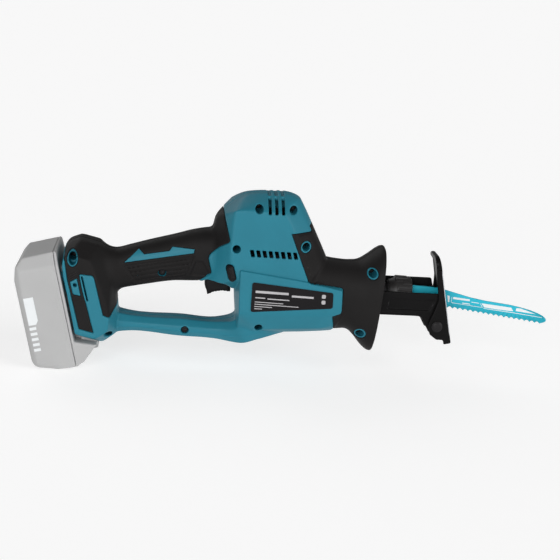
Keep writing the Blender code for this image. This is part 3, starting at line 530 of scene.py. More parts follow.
def tubes(name, lines, radius, look, *role):
    """Thin round bars along lines of points, drawn to a point at both ends."""
    mesh = bmesh.new()
    for line in lines:
        points = [Vector(point) for point in line]
        last = len(points) - 1
        rings = []
        for index, point in enumerate(points):
            along = (points[min(index + 1, last)] - points[max(index - 1, 0)]).normalized()
            across = along.orthogonal().normalized()
            size = 0.05 if index in (0, last) else radius
            rings.append(add_ring(mesh, point, across, along.cross(across), size, 8))
        mesh.faces.new(rings[0])
        mesh.faces.new(rings[-1])
        for near, far in zip(rings, rings[1:]):
            bridge(mesh, near, far)
    finished(name, mesh, look, role)


def from_field(name, values, grid, look, ratio, *role, matrix=None, mirror=False):
    """A piece from a field; matrix takes the grid's own frame to the saw frame."""
    points, faces = skin(values, grid)
    if mirror:
        points = points * np.array([1, -1, 1])
        faces = faces[:, ::-1]
    if matrix is not None:
        turn = np.array(matrix.to_3x3())
        points = points @ turn.T + np.array(matrix.to_translation())
    item = mesh_object(name, place(points), faces, look)
    if ratio < 1:
        thin_out(item, ratio)
    register(item, *role)


# ---- materials

MIDDLE = (0.3, 0.7)             # where most of a noise's values lie


def node(tree, kind, **values):
    made = tree.nodes.new(kind)
    for key, value in values.items():
        if key in made.inputs:
            made.inputs[key].default_value = value
        else:
            setattr(made, key, value)
    return made


def remap(tree, value, before, after):
    """Takes a value from one range to another."""
    made = node(tree, "ShaderNodeMapRange")
    for name, limit in zip(("From Min", "From Max", "To Min", "To Max"), (*before, *after)):
        made.inputs[name].default_value = limit
    tree.links.new(value, made.inputs["Value"])
    return made.outputs[0]


def material(name, colour, roughness, metallic=0, grain=0, grain_scale=900, vary=0.06,
             patches=0.08, coat=0, specular=0.5, edge_highlight=0, stretch=(1, 1, 1)):
    """A procedural finish: colour drift, roughness patches, fine grain and lighter sharp edges, which are a
    painted edge highlight.
    """
    made = bpy.data.materials.new(name)
    made.use_nodes = True
    tree = made.node_tree
    link = tree.links.new
    shader = tree.nodes["Principled BSDF"]
    for key, value in (("Metallic", metallic), ("Coat Weight", coat), ("Coat Roughness", 0.2),
                       ("Specular IOR Level", specular)):
        shader.inputs[key].default_value = value
    mapping = node(tree, "ShaderNodeMapping", Scale=stretch)
    link(node(tree, "ShaderNodeTexCoord").outputs["Object"], mapping.inputs["Vector"])
    drift = node(tree, "ShaderNodeTexNoise", Scale=28, Detail=3, Roughness=0.5)
    fine = node(tree, "ShaderNodeTexNoise", Scale=grain_scale, Detail=3, Roughness=0.6)
    for noise in (drift, fine):
        link(mapping.outputs[0], noise.inputs["Vector"])
    tint = node(tree, "ShaderNodeVectorMath", operation="SCALE")
    tint.inputs[0].default_value = colour
    link(remap(tree, drift.outputs["Fac"], MIDDLE, (1 - vary, 1 + vary)), tint.inputs["Scale"])
    last = tint.outputs[0]
    # Sharp edges, found by pointiness, are lightened: a painted edge highlight.
    if edge_highlight:
        edge = node(tree, "ShaderNodeNewGeometry").outputs["Pointiness"]
        highlight_mix = node(tree, "ShaderNodeMix", data_type="RGBA")
        highlight_mix.inputs["B"].default_value = (*[min(1, value * 1.9 + 0.02) for value in colour], 1)
        link(remap(tree, edge, (0.53, 0.62), (0, edge_highlight)), highlight_mix.inputs["Factor"])
        link(last, highlight_mix.inputs["A"])
        last = highlight_mix.outputs["Result"]
    link(last, shader.inputs["Base Color"])
    rough = (max(0.02, roughness - patches), min(1, roughness + patches))
    link(remap(tree, fine.outputs["Fac"], MIDDLE, rough), shader.inputs["Roughness"])
    if grain:
        bump = node(tree, "ShaderNodeBump", Strength=0.5, Distance=grain)
        link(fine.outputs["Fac"], bump.inputs["Height"])
        link(bump.outputs[0], shader.inputs["Normal"])
    return made


TEAL = material("teal_plastic", (0.015, 0.15, 0.206), 0.46, specular=0.18, grain=0.00006,
                grain_scale=2200, vary=0.05, edge_highlight=0.35)
RUBBER = material("soft_rubber", (0.0095, 0.0088, 0.0088), 0.58, specular=0.1, grain=0.0001,
                  grain_scale=1800, vary=0.12, edge_highlight=0.4)
BLACK = material("black_plastic", (0.008, 0.0075, 0.008), 0.44, specular=0.1, grain=0.00006,
                 grain_scale=2000, vary=0.1, edge_highlight=0.4)
COATED = material("black_coated_steel", (0.0036, 0.0034, 0.0036), 0.34, specular=0.08, coat=0.01,
                  grain=0.00004, grain_scale=2600, vary=0.2, patches=0.1, edge_highlight=0.5)
GREY = material("battery_plastic", (0.35, 0.35, 0.35), 0.5, specular=0.3, grain=0.00006,
                grain_scale=2200, vary=0.03, edge_highlight=0.2)
CLAMP = material("clamp_plastic", (0.016, 0.015, 0.015), 0.4, specular=0.25, grain=0.00005,
                 grain_scale=2200, vary=0.1, edge_highlight=0.5)
LABEL = material("label_film", (0.007, 0.0062, 0.007), 0.36, specular=0.12, grain=0.00002,
                 grain_scale=3000, vary=0.1)
INK = material("label_ink", (0.36, 0.35, 0.36), 0.45, vary=0.08)
PAINT = material("white_print", (0.62, 0.64, 0.65), 0.46, specular=0.3, grain=0.00002,
                 grain_scale=3000, vary=0.03)
BLADE = material("blade_coat", (0.001, 0.225, 0.295), 0.4, metallic=0.1, specular=0.3,
                 grain=0.00004, grain_scale=1500, edge_highlight=0.7, stretch=(0.15, 1, 1))
OXIDE = material("dark_oxide", (0.016, 0.015, 0.016), 0.46, metallic=0.3, specular=0.15,
                 grain=0.00003, vary=0.2)
STEEL = material("ground_steel", (0.5, 0.51, 0.53), 0.26, metallic=1, grain=0.00003,
                 grain_scale=1400, stretch=(0.1, 1, 1))
CAST = material("cast_aluminium", (0.56, 0.57, 0.59), 0.5, metallic=1, grain=0.00012,
                grain_scale=1100)
BRONZE = material("sintered_bronze", (0.42, 0.25, 0.1), 0.42, metallic=1, grain=0.00006)
COPPER = material("enamelled_copper", (0.52, 0.18, 0.07), 0.32, metallic=1, grain=0.00025,
                  grain_scale=700, stretch=(1, 1, 4))
BOARD = material("circuit_board", (0.02, 0.15, 0.06), 0.35, grain=0.00005, coat=0.4)
RED = material("red_sleeve", (0.42, 0.02, 0.02), 0.35, grain=0.00003)
# An opaque pale bluish white for the lamp lens: a painted glint standing in for clear plastic.
GLINT_WHITE_LENS = material("lamp_plastic_painted_glint", (0.72, 0.8, 0.88), 0.12, vary=0.02, coat=0.6)

# ---- the saw's body

BODY_GRID = Grid((-302, -41.5, -60.5), (-2.5, 1.5, 90), 0.8)


def flank_y(side, lift):
    """y of the label's flank on one side, lifted off it, as a function of x."""
    return lambda x: side * (38.5 - FLANK_SLOPE * (x + 139) + lift)


def motor_top(grid):
    crown = ((-162.6, 55), (-160.6, 62.8), (-154.6, 70.2), (-145, 78.8), (-137, 84.5), (-129.5, 86.6),
             (-113.5, 87.78), (-97.5, 87.7), (-90.6, 86.1), (-84.7, 83), (-80.5, 76.4), (-71.6, 59.1),
             (-57.4, 30), (-163, 22), (-171, -1.8))
    ridge = ((-156.6, 64.5), (-138.5, 82.6), (-115, 85), (-98, 84.8), (-90.6, 83.1), (-86.1, 78.6),
             (-74.4, 58.9), (-60.5, 30), (-162, 20), (-165, 0), (-140, -1), (-66, -1))
    flat = ((-146, 74.5), (-139.9, 76.3), (-101.3, 74.4), (-97.6, 71.7), (-92, 58), (-72, 12),
            (-143, 12), (-147, 30))
    return convex(grid, 1.5, (10, crown), (18, ridge), (lambda x: 36.5 - 0.05 * (x + 146), flat))


def motor_base(grid):
    bottom = ((-137, -41.5), (-95, -40.9), (-78, -39.9), (-50, -36.8), (-141, -4), (-141, 8))
    flank = ((-137, -30), (-118, -36.5), (-60, -33), (-46, -28))
    flat = ((-138, 21.3), (-74, 12), (-44, 5.2), (-43, -14.5), (-52, -17.5), (-137, -19))
    return convex(grid, 1.3, (16, bottom), (27, flank), (flank_y(1, 0), flat))


def nose(grid):
    """The gear nose and its flange; each section is x, top, bottom, half width and squareness."""
    sections = (
        (-80, 29, -38.5, 31, 3.2), (-62, 28, -38, 30.5, 3), (-46, 26.2, -36.8, 29.5, 2.8),
        (-34, 25.9, -37.4, 29.3, 2.7), (-27, 27.2, -43.2, 30.2, 2.6), (-20, 32.6, -50.6, 31.8, 2.5),
        (-14, 38.4, -55.4, 33.4, 2.5), (-11.8, 40.2, -56.6, 34, 2.5), (-7.6, 41.2, -57.6, 34.5, 2.5),
    )
    front = sections[-1][0]
    part, span = grid.window(-90, 5)
    flare = np.clip((part.x + 34) / 26.4, 0, 1)
    top, bottom = curves(sections, part.x)[:2]
    at = part.x - flare * 0.085 * (part.z - (top + bottom) / 2)
    top, bottom, half, exponent = curves(sections, at)
    ring = oval(part.y, part.z - (top + bottom) / 2, half, (top - bottom) / 2, exponent)
    ring = smooth_max(ring, at - front, 1.2)
    return grid.spread(span, overlap(ring, -80 - part.x))


def handle(grid):
    """The grip; each section is x, middle, half height and half width."""
    sections = (
        (-270, 8, 18, 19), (-257, 9, 18.8, 18.2), (-247, 10.2, 18.7, 17.4), (-238, 12.6, 19.1, 17),
        (-222, 16.7, 19.9, 17.2), (-196, 22.6, 21.3, 17.6), (-180, 25.3, 23.4, 18.2),
        (-168, 26.8, 24.2, 19.5), (-152, 27.6, 24.6, 21),
    )
    part, span = grid.window(-276, -146)
    middle, tall, wide = curves(sections, part.x)
    ring = oval(part.y, part.z - middle, wide, tall, 2.5)
    return grid.spread(span, overlap(ring, -270 - part.x, part.x + 152))


def rear_block(grid):
    top = ((-296, 29.5), (-291.7, 34), (-281.8, 37.8), (-274, 36.1), (-264.7, 33.9), (-259, 27))
    middle = ((-252, 20), (-247.5, -16), (-246, -30), (-246, -44))
    foot = ((-246.5, -47.3), (-251, -51.3), (-258.7, -56.8), (-264, -56.3), (-268.5, -51.8),
            (-283, -48))
    flat = ((-296.6, 17), (-283.2, -44.6), (-265.5, -48.4), (-255, -42), (-253, -27), (-267, 12),
            (-272, 24), (-288, 29), (-294, 27))
    return convex(grid, 1.6, (15, top), (13, middle), (16, foot), (36.5, flat))


def lower_bar(grid):
    """The faceted bar under the hand; each section is x, top, bottom and half width."""
    sections = (
        (-264, -28, -49, 24), (-250, -29.5, -48, 16.5), (-238, -31.8, -46.8, 14.8),
        (-190, -33.8, -49.6, 14.8), (-152, -34.8, -51.4, 15.6), (-142, -32.9, -52.2, 19),
        (-132, -27, -52, 23), (-117, -27, -48, 22), (-95, -27, -41.6, 18),
    )
    part, span = grid.window(-270, -92)
    high, low, wide = curves(sections, part.x)
    slope = (high - low) * 0.36
    outward = np.abs(part.y) - wide
    form = smooth_max(smooth_max(part.z - high, low - part.z, 0.8), outward, 0.8)
    for edge, reach, sign in ((high, 5, 1), (low, 4.4, -1)):
        length = np.sqrt(slope * slope + reach * reach)
        line = (outward * slope + ((part.z - edge) * sign + slope) * reach) / length
        form = smooth_max(form, line, 0.7)
    return grid.spread(span, overlap(form, -264 - part.x, part.x + 95))


def body(grid):
    """The whole outer form before the colours are parted."""
    motor = smooth_min(motor_top(grid), motor_base(grid), 0.8)
    whole = smooth_min(motor, nose(grid), 3)
    grip = smooth_min(handle(grid), rear_block(grid), 8)
    whole = smooth_min(whole, grip, 3.5)
    whole = carve(whole, overlap(grid.outline(TRIGGER_ARCH), -14 - grid.z), 1.6)
    whole = smooth_min(whole, lower_bar(grid), 2) - 0.2
    return overlap(whole, grid.z - CROWN_TOP, np.abs(grid.y) - FLANK_LIMIT)


def rail_channel(grid, grow=0):
    """The T-shaped channel for the battery's rails, and the depth from the interface."""
    c, s = math.cos(INTERFACE_LEAN), math.sin(INTERFACE_LEAN)
    dx, dz = grid.x - INTERFACE_POINT[0], grid.z - INTERFACE_POINT[1]
    depth = dx * c + dz * s
    along = -dx * s + dz * c
    neck = boxed(depth, grid.y, along, (-12, -21.2 - grow, -80), (5, 21.2 + grow, RECESS_TOP))
    head = boxed(depth, grid.y, along, (4.6, -24.8 - grow, -80), (RECESS_DEPTH, 24.8 + grow, RECESS_TOP))
    return np.minimum(neck, head), depth


def vents(grid):
    """Eight slanted slots on the flank, three on the top bevel and three notches on top."""
    across = np.abs(grid.y)
    slots = []
    for index in range(8):
        x, high = -130.2 + 5.57 * index, 39.9 - 0.15 * index
        outline = [(x, high), (x + 3.4, high), (x + 5, high - 6.3), (x + 1.6, high - 6.3)]
        slots.append(overlap(grid.outline(outline), 20 - across))
    bevel = overlap(72.4 - grid.z, grid.z - 86.2, 15 - across)
    notch = overlap(85.6 - grid.z, across - 13)
    for index in range(3):
        x = -115.3 + 6 * index
        slots.append(overlap(x - grid.x, grid.x - x - 2.8, np.minimum(bevel, notch)))
    return functools.reduce(np.minimum, slots)


def screw_distance(grid, names):
    """Distance from the nearest of the named screws' axes."""
    return functools.reduce(np.minimum, [grid.around(*SCREWS[name]) for name in names])


def rear_oval(grid, wall):
    """Distance from the oval ring round the rear top screw, or from its well."""
    x, z = SCREWS["rear_top"]
    return oval(grid.x - x, grid.z - z, REAR_RING[0] - wall, REAR_RING[1] - wall, 2)


def ring_distance(grid):
    """Distance from the raised teal rings that show through the rubber."""
    best = rear_oval(grid, 0)
    for name, radius in RING_RADIUS.items():
        best = np.minimum(best, grid.around(*SCREWS[name]) - radius)
    return best


def build_housing():
    """Both shells and both pairs of rubber covers. Returns the outer form."""
    grid = BODY_GRID
    form = body(grid)
    side_on = np.abs(grid.y)
    form = form - 0.7 * step_up(-grid.outline(SHOULDER), 1.6) * step_up(side_on - 18, 6)
    grip_area = grid.outline(GRIP_REGION)
    crown_area = overlap(grid.outline(CROWN_REGION), side_on - CROWN_HALF)
    nose_area = np.minimum(grid.outline(NOSE_REGION), crown_area)
    channel, depth = rail_channel(grid)
    wells = overlap(screw_distance(grid, SCREWS) - WELL_RADIUS, WELL_FLOOR - side_on)
    wells = np.minimum(wells, overlap(rear_oval(grid, RING_WALL), 24 - side_on))
    rings = ring_distance(grid)
    posts = screw_distance(grid, SCREWS) - 5.4
    mini = grid.outline(MINI_PANEL)
    trigger_slot = grid.box((-168.8, -8.3, -20), (-143.4, 8.3, 12.4))
    mouth = grid.box((-20, -17, -21.5), (10, 17, 14.5))
    lamp = grid.box((-14, -5.3, -30.6), (10, 5.3, -24.4))
    seam = grid.y + SEAM

    # The teal shell: full height where it shows, lower under the covers.
    colour_edge = np.minimum(grip_area, nose_area)
    shell = smooth_max(form, 0.15 - colour_edge, 0.6)
    shell = np.minimum(shell, form + 1.7)
    shell = np.minimum(shell, smooth_max(form + 0.3, np.minimum(rings, mini), 0.5))
    core = overlap(-18 - depth, depth - RECESS_DEPTH - 3)
    web = boxed(grid.x, side_on, grid.z, (-135, -1, 71), (-85, 1, 90))
    shell = overlap(shell, -overlap(form + SHELL_WALL, -core, -posts, -web))
    shell = carve(shell, wells, 0.5)
    shell = overlap(carve(shell, vents(grid), 0.4), -channel)
    for opening in (trigger_slot, mouth, lamp, grid.slot(*LOCK_SLOT, LOCK_RADIUS + 0.35)):
        shell = carve(shell, opening, 0.7)
    slot_line = grid.slot((-278.4, 8.6), (-273, -12.8), 0.8)
    shell = carve(shell, overlap(slot_line, -(form + 9)), 0.3)
    shell = smooth_max(shell, seam, 0.5)
    holed = carve(shell, overlap(grid.around(*STRAP_HOLE) - 1.8, 29 - side_on), 0.5)
    for (side, word), half in zip(SIDES, (holed, shell)):
        from_field("housing_shell_" + word, half, grid, TEAL, 0.45, "saw_body", "housing_plastic",
                   "housing_" + word, mirror=side > 0)

    # The rubber covers, with a louvred finger panel and a plain thumb panel let in.
    ribs = grid.outline(RIB_PANEL)
    down = (grid.x + 241.6) * 0.2012 - (grid.z - 16.9) * 0.9796
    phase = np.mod(down / LOUVRE_PITCH, 1)
    louvre = 0.25 + 0.5 * phase + 0.7 * step_up(phase - 0.72, 0.14) * step_up(1 - phase, 0.1)
    border = 0.8 * step_up(0.9 - np.abs(ribs), 0.5)
    detail = form + (louvre * step_up(-ribs, 1) + border) * step_up(side_on - 6, 4)
    thumb = step_up(-grid.outline(THUMB_PANEL), 1.2)
    detail = detail + 1.2 * thumb * step_up(side_on - 8, 4)
    pocket = overlap(grid.outline(ARROW) - 0.2, 6 - side_on, -(form + 0.9))
    plain = [name for name in SCREWS if name != "rear_top" and name not in RING_RADIUS]
    holes = np.minimum(screw_distance(grid, plain) - WELL_RADIUS, rings - 0.2)
    for area, stem in ((grip_area, "grip"), (nose_area, "nose")):
        cover = smooth_max(detail, area + 0.15, 0.6)
        cover = overlap(cover, -(form + COVER_WALL + 0.9))
        cover = carve(cover, holes, 0.4)
        if stem == "grip":
            cover = carve(carve(cover, pocket, 0.3), mini - 0.2, 0.4)
            cover = overlap(cover, -rail_channel(grid, 0.3)[0])
            cover = carve(cover, trigger_slot, 0.6)
        else:
            cover = carve(cover, np.minimum(mouth, lamp) - 0.3, 0.5)
        cover = smooth_max(cover, seam, 0.5)
        for side, word in SIDES:
            from_field(stem + "_rubber_" + word, cover, grid, RUBBER, 0.6, "saw_body", "soft_grip",
                       stem + "_cover_" + word, mirror=side > 0)
    return form


def build_arrows():
    """The teal inlays on the grip, with fine lines engraved along them."""
    grid = Grid((-244, -21, 16), (-177, -8, 37), 0.4)
    form = body(grid)
    arrow = grid.outline(ARROW)
    lines = np.abs(arrow + 1.3) - 0.16
    for index in range(3):
        fan = grid.z - 19.6 - 1.5 * index - (grid.x + 236) * (0.196 + 0.022 * index)
        lines = np.minimum(lines, overlap(np.abs(fan) - 0.14, arrow + 1))
    inlay = smooth_max(form + 0.05, arrow, 0.5) + 0.3 * step_up(-lines, 0.2)
    inlay = overlap(inlay, -(form + 0.9))
    for side, word in SIDES:
        from_field("arrow_inlay_" + word, inlay, grid, TEAL, 0.5, "saw_body", "housing_plastic",
                   mirror=side > 0)


def surface_point(form, x, z):
    """The point where the outer form's right side lies at one place of the side view."""
    ys = np.linspace(-41, -1, 161)
    spots = np.stack([np.full_like(ys, x), ys, np.full_like(ys, z)], 1)
    levels = sample(form, BODY_GRID.low, BODY_GRID.step, spots)
    first = int(np.argmax(levels < 0))
    share = levels[first - 1] / (levels[first - 1] - levels[first])
    return x, ys[first - 1] + share * (ys[first] - ys[first - 1]), z


def build_fine_lines(form):
    """Thin raised lines: layers along the battery interface and three above the mini panel."""
    cosine, sine = math.cos(INTERFACE_LEAN), math.sin(INTERFACE_LEAN)
    layers = []
    for depth in (0.25, 1.55, 2.85):
        line = []
        for along in np.arange(-25, 34, 2.5):
            x = INTERFACE_POINT[0] + depth * cosine - along * sine
            z = INTERFACE_POINT[1] + depth * sine + along * cosine
            if z < 27:
                line.append(surface_point(form, x, z))
        layers.append(line)
    ridges = []
    for drop in (0, 2.2, 4.4):
        ends = [Vector((x, z - drop)) for x, z in ((-290.4, 8), (-288.9, 9.9), (-282.4, 13.9))]
        ridges.append([surface_point(form, *start.lerp(end, step / 4))
                       for start, end in zip(ends, ends[1:]) for step in range(5)])
    for lines, stem, look, slot in ((layers, "interface_layers", TEAL, "housing_plastic"),
                                    (ridges, "rear_ridges", RUBBER, "soft_grip")):
        for side, word in SIDES:
            turned = [[(x, -side * y, z) for x, y, z in line] for line in lines]
            tubes(stem + "_" + word, turned, 0.5, look, "saw_body", slot)


# ---- controls, plates and screws

def build_trigger():
    outline = rounded((
        (-168.2, -1.5), (-165.3, -11.2, 1.2), (-160, -8.2, 6), (-152, -6.6, 8), (-144.2, -7.4, 1),
        (-144.2, 1.8), (-150.5, 1.8), (-150.5, 5.5), (-168.2, 5.5)))
    grid = Grid((-169.5, -9, -13), (-143, 9, 7), 0.4)
    side_on = np.abs(grid.y)
    form = smooth_max(grid.outline(outline), side_on - 7.8, 4)
    ribs = 0.18 * np.cos(grid.x * (2 * math.pi / 2.6)) * step_up(6.2 - side_on, 1.5)
    form = form + (0.18 + ribs) * step_up(-4 - grid.z, 2)
    from_field("trigger_lever", form, grid, BLACK, 0.6, "trigger", "black_plastic", "trigger")


def build_lock_button():
    """The bar through the housing, with a domed, ribbed pad at each end."""
    grid = Grid((-151.5, -40.5, 9), (-140, 40.5, 27), 0.45)
    side = grid.slot(*LOCK_SLOT, LOCK_RADIUS - 0.05)
    dome = np.abs(grid.y) - 39.3 + 1.5 * step_up(side + 3.2, 3.4)
    along = (grid.x + 145.8) * -0.269 + (grid.z - 17.9) * 0.963
    ribs = 0.22 * step_up(0.35 - np.abs(np.mod(along + 1.2, 2.4) - 1.2), 0.3)
    form = smooth_max(side, dome + ribs * step_up(-1.2 - side, 0.6), 1.4)
    from_field("lock_off_pads", form, grid, BLACK, 0.6, "lock_button", "black_plastic",
               "lock_off_button")


def build_nameplates():
    """Blank rating plates with a few plain bars in place of lettering."""
    outline = rounded(((-126.4, 11.2, 2), (-52.2, 3.4, 2), (-52, -11.2, 2), (-126.6, -16.6, 2)), 6)
    shapes = []
    for x, z, length, tall in (
            (-123, 1.5, 30, 2.2), (-90, -1.6, 20, 1.8), (-123, -3.4, 9, 1),
            (-112, -4.3, 20, 1), (-123.4, -7.2, 26, 0.7), (-123.4, -9.3, 40, 0.7),
            (-123.4, -11.4, 16, 0.7), (-123.4, -13.5, 7, 0.7)):
        end_x, end_z = x + length, z - FLANK_SLOPE * length
        shapes.append([(x, z), (end_x, end_z), (end_x, end_z + tall), (x, z + tall)])
    for low in (-2, -7.4):
        left, right, high = -62.6, -59, low + 3.6
        shapes.append(rounded(((left, low, 1), (right, low, 1), (right, high, 1), (left, high, 1)), 4))
    for side, word in SIDES:
        plates("rating_plate_" + word, [outline], flank_y(side, 0.3), flank_y(side, 0.7), LABEL,
               "saw_body", "black_plastic", "nameplate_" + word, bevel=0.12)
        plates("rating_bars_" + word, shapes, flank_y(side, 0.68), flank_y(side, 0.74), INK,
               "saw_body", "black_plastic")


def build_screws():
    """One screw mesh with a six-lobed recess, shared by every housing screw."""
    grid = Grid((-3.8, -12.6, -3.8), (3.8, 9, 3.8), 0.25)
    radius = grid.around(0, 0)
    dome = overlap(-11.8 - grid.y + 0.08 * radius ** 2, grid.y + 9.3)
    head = smooth_max(radius - 3.1, dome, 0.6)
    thread = 0.16 * np.cos(grid.y * (2 * math.pi / 1.1))
    shank = overlap(radius - 1.8 - thread, -10 - grid.y, grid.y - 8)
    lobes = radius - 1.45 - 0.25 * np.cos(6 * np.arctan2(grid.z, grid.x))
    form = carve(np.minimum(head, shank), overlap(lobes, grid.y + 10.6), 0.2)
    points, faces = skin(form, grid)
    pattern = mesh_object("screw_body", points * MM, faces, OXIDE)
    thin_out(pattern, 0.5)
    for name, (x, z) in SCREWS.items():
        item = linked("six_lobe_" + name, pattern.data)
        item.location = place((x, 0, z))
        register(item, "saw_body", "dark_steel", "screw_" + name)
    bpy.data.objects.remove(pattern)


# ---- clamp, blade, shoe and lamp

def build_clamp():
    """The clamp sleeve: a cone, a fluted collar and a stepped lever pad."""
    grid = Grid((1.8, -13.5, -13.5), (25.6, 13.5, 16.2), 0.4)
    x, y, z = grid.x, grid.y, grid.z
    radius = np.sqrt(y ** 2 + z ** 2)
    angle = np.arctan2(y, z)
    cone = radius - 9.6 - (x - 2.2) * 0.36
    flutes = 0.28 * (1 + np.cos(angle * 22)) * step_up(x - 10.5, 1)
    flutes = flutes * step_up(np.abs(angle) - 1.1, 0.1)
    sleeve = smooth_max(smooth_max(radius - 12 + flutes, cone, 0.5), x - 24.6, 1.6)
    pad_foot = 10.2 - 1.9 * step_up(x - 15.2, 1)
    pad = smooth_max(radius - 12.6, pad_foot - z, 0.5)
    pad = smooth_max(pad, overlap(8.8 - x, x - 23.8), 0.8)
    lever = grid.box((8.8, -4.4, 9), (20.5, 4.4, 14.2))
    lever = smooth_max(lever, z - 14.2 + 0.03 * y ** 2 + 0.04 * np.maximum(0, x - 9), 0.8)
    sleeve = smooth_min(smooth_min(sleeve, pad, 0.4), lever, 0.6)
    sleeve = overlap(sleeve, 2.5 - x, 9.4 - radius)
    from_field("clamp_collar", sleeve, grid, CLAMP, 0.6, "clamp_lever", "black_plastic", "clamp_sleeve")


def blade_outline():
    """The blade in the side view, its teeth raked towards the saw."""
    back = [(28, 5.4), (38, 5), (50, 3.9), (58, 2.2), (67, -0.2), (82, -4.1), (97, -6.8),
            (110, -8.4), (122, -9.9), (132, -12), (141, -14.3), (148, -16.7), (153, -19),
            (155.8, -21.2), (156.7, -23), (156.2, -24.6), (154.4, -25.5)]
    tooth = ((0, 0), (0.16, 0.55), (0.42, 0.95), (0.66, 0.92), (0.8, 0.55), (0.88, 0))
    shank = [(60.5, -14.6), (56, -11.6), (52, -9.5), (44, -6.4), (26, -5.4), (5, -5.4), (5, 5.4)]
    end = Vector((150.5, -26.6))
    run = (end - Vector(shank[0])) / TOOTH_COUNT
    gullet = Vector((run.y, -run.x)).normalized() * 1.7
    teeth = []
    for index in range(TOOTH_COUNT):
        for along, deep in tooth:
            teeth.append(tuple(end - run * index - run * along - gullet * deep))
    return back + teeth + shank


def strips(line, width):
    """Narrow four-sided strips along a line."""
    pieces = []
    for start, end in zip(line, line[1:]):
        across = Vector((end[1] - start[1], start[0] - end[0])).normalized() * width
        pieces.append([start, end, tuple(Vector(end) - across), tuple(Vector(start) - across)])
    return pieces


def build_blade():
    plates("pruning_blade", [blade_outline()], -0.65, 0.65, BLADE, "plunger", "blade_coating", "blade",
           bevel=0.16)
    prints = [
        [(93, -9.2), (122, -12.2), (124.2, -15.6), (109.6, -14.6), (96, -13)],
        [(127, -12.5), (131.3, -12.7), (146.4, -17.6), (141.6, -17.1), (126.4, -15.3)],
        [(95.4, -13.8), (124.2, -16.8), (152.3, -20.4), (152.4, -20.9), (124.2, -17.4), (95.5, -14.3)],
        [(65.6, -4.2), (81.4, -5.8), (81.6, -7.6), (65.5, -6.2)],
        [(74.6, -9.3), (82, -10), (82.1, -10.8), (74.7, -10.1)],
        [(83.3, -8.1), (90.6, -8.9), (90.7, -9.5), (83.4, -8.7)],
        [(59.8, -3), (62.2, -3.3), (62.1, -9.3), (60.9, -9.1)],
    ]
    prints += strips([(64.1, -4.2), (63.8, -9.9), (91.9, -13.2), (94.7, -13.3), (92.1, -9.4)], 0.4)
    for side, word in SIDES:
        plates("blade_bands_" + word, prints, side * 0.62, side * 0.69, PAINT, "plunger", "blade_coating")


def holder_wall(grid, top):
    return grid.outline(rounded((
        (-12, top), (49.9 - 0.38 * top, top, 2), (53.4, -18, 6), (55.4, -24, 4),
        (55.4, -35.6, 6), (42.4, -36.2, 4), (33.6, -20, 9), (-12, -20))))


def build_shoe_holder():
    """The pressed steel holder: a low near wall with a pressed panel, a floor and a high far wall."""
    grid = Grid((-13, -16, -37), (57.5, 16, 12), 0.55)
    panel = grid.outline(rounded((
        (3, -4, 1.5), (46.4, -4, 1.5), (41.4, -15.4, 1.5), (0.6, -15.2, 1.5))))
    face = grid.y + 15
    press = 0.75 * step_up(-panel, 1.1)
    near = smooth_max(smooth_max(holder_wall(grid, 1.8), -face + press, 0.9), face - 2 - press, 0.9)
    far = smooth_max(smooth_max(holder_wall(grid, 10.3), 13 - grid.y, 0.9), grid.y - 15, 0.9)
    low = grid.box((-12, -14.6, -20), (30, 14.6, -18))
    form = smooth_min(smooth_min(near, far, 1), low, 1.5)
    form = carve(form, grid.around(*SHOE_PIVOT) - 3.8, 0.4)
    from_field("pressed_shoe_holder", form, grid, COATED, 0.5, "saw_body", "black_steel", "shoe_holder")
    # Lighter oxide bars along the pressed panel's slanted edges: a painted highlight.
    edges = [[(1.4, -14.4, -13.6), (2.1, -14.5, -9.5), (2.9, -14.4, -5.4)],
             [(42.2, -14.4, -13.6), (43.9, -14.5, -9.7), (45.6, -14.4, -5.8)]]
    tubes("painted_highlight_panel_edges", edges, 0.75, OXIDE, "saw_body", "black_steel")


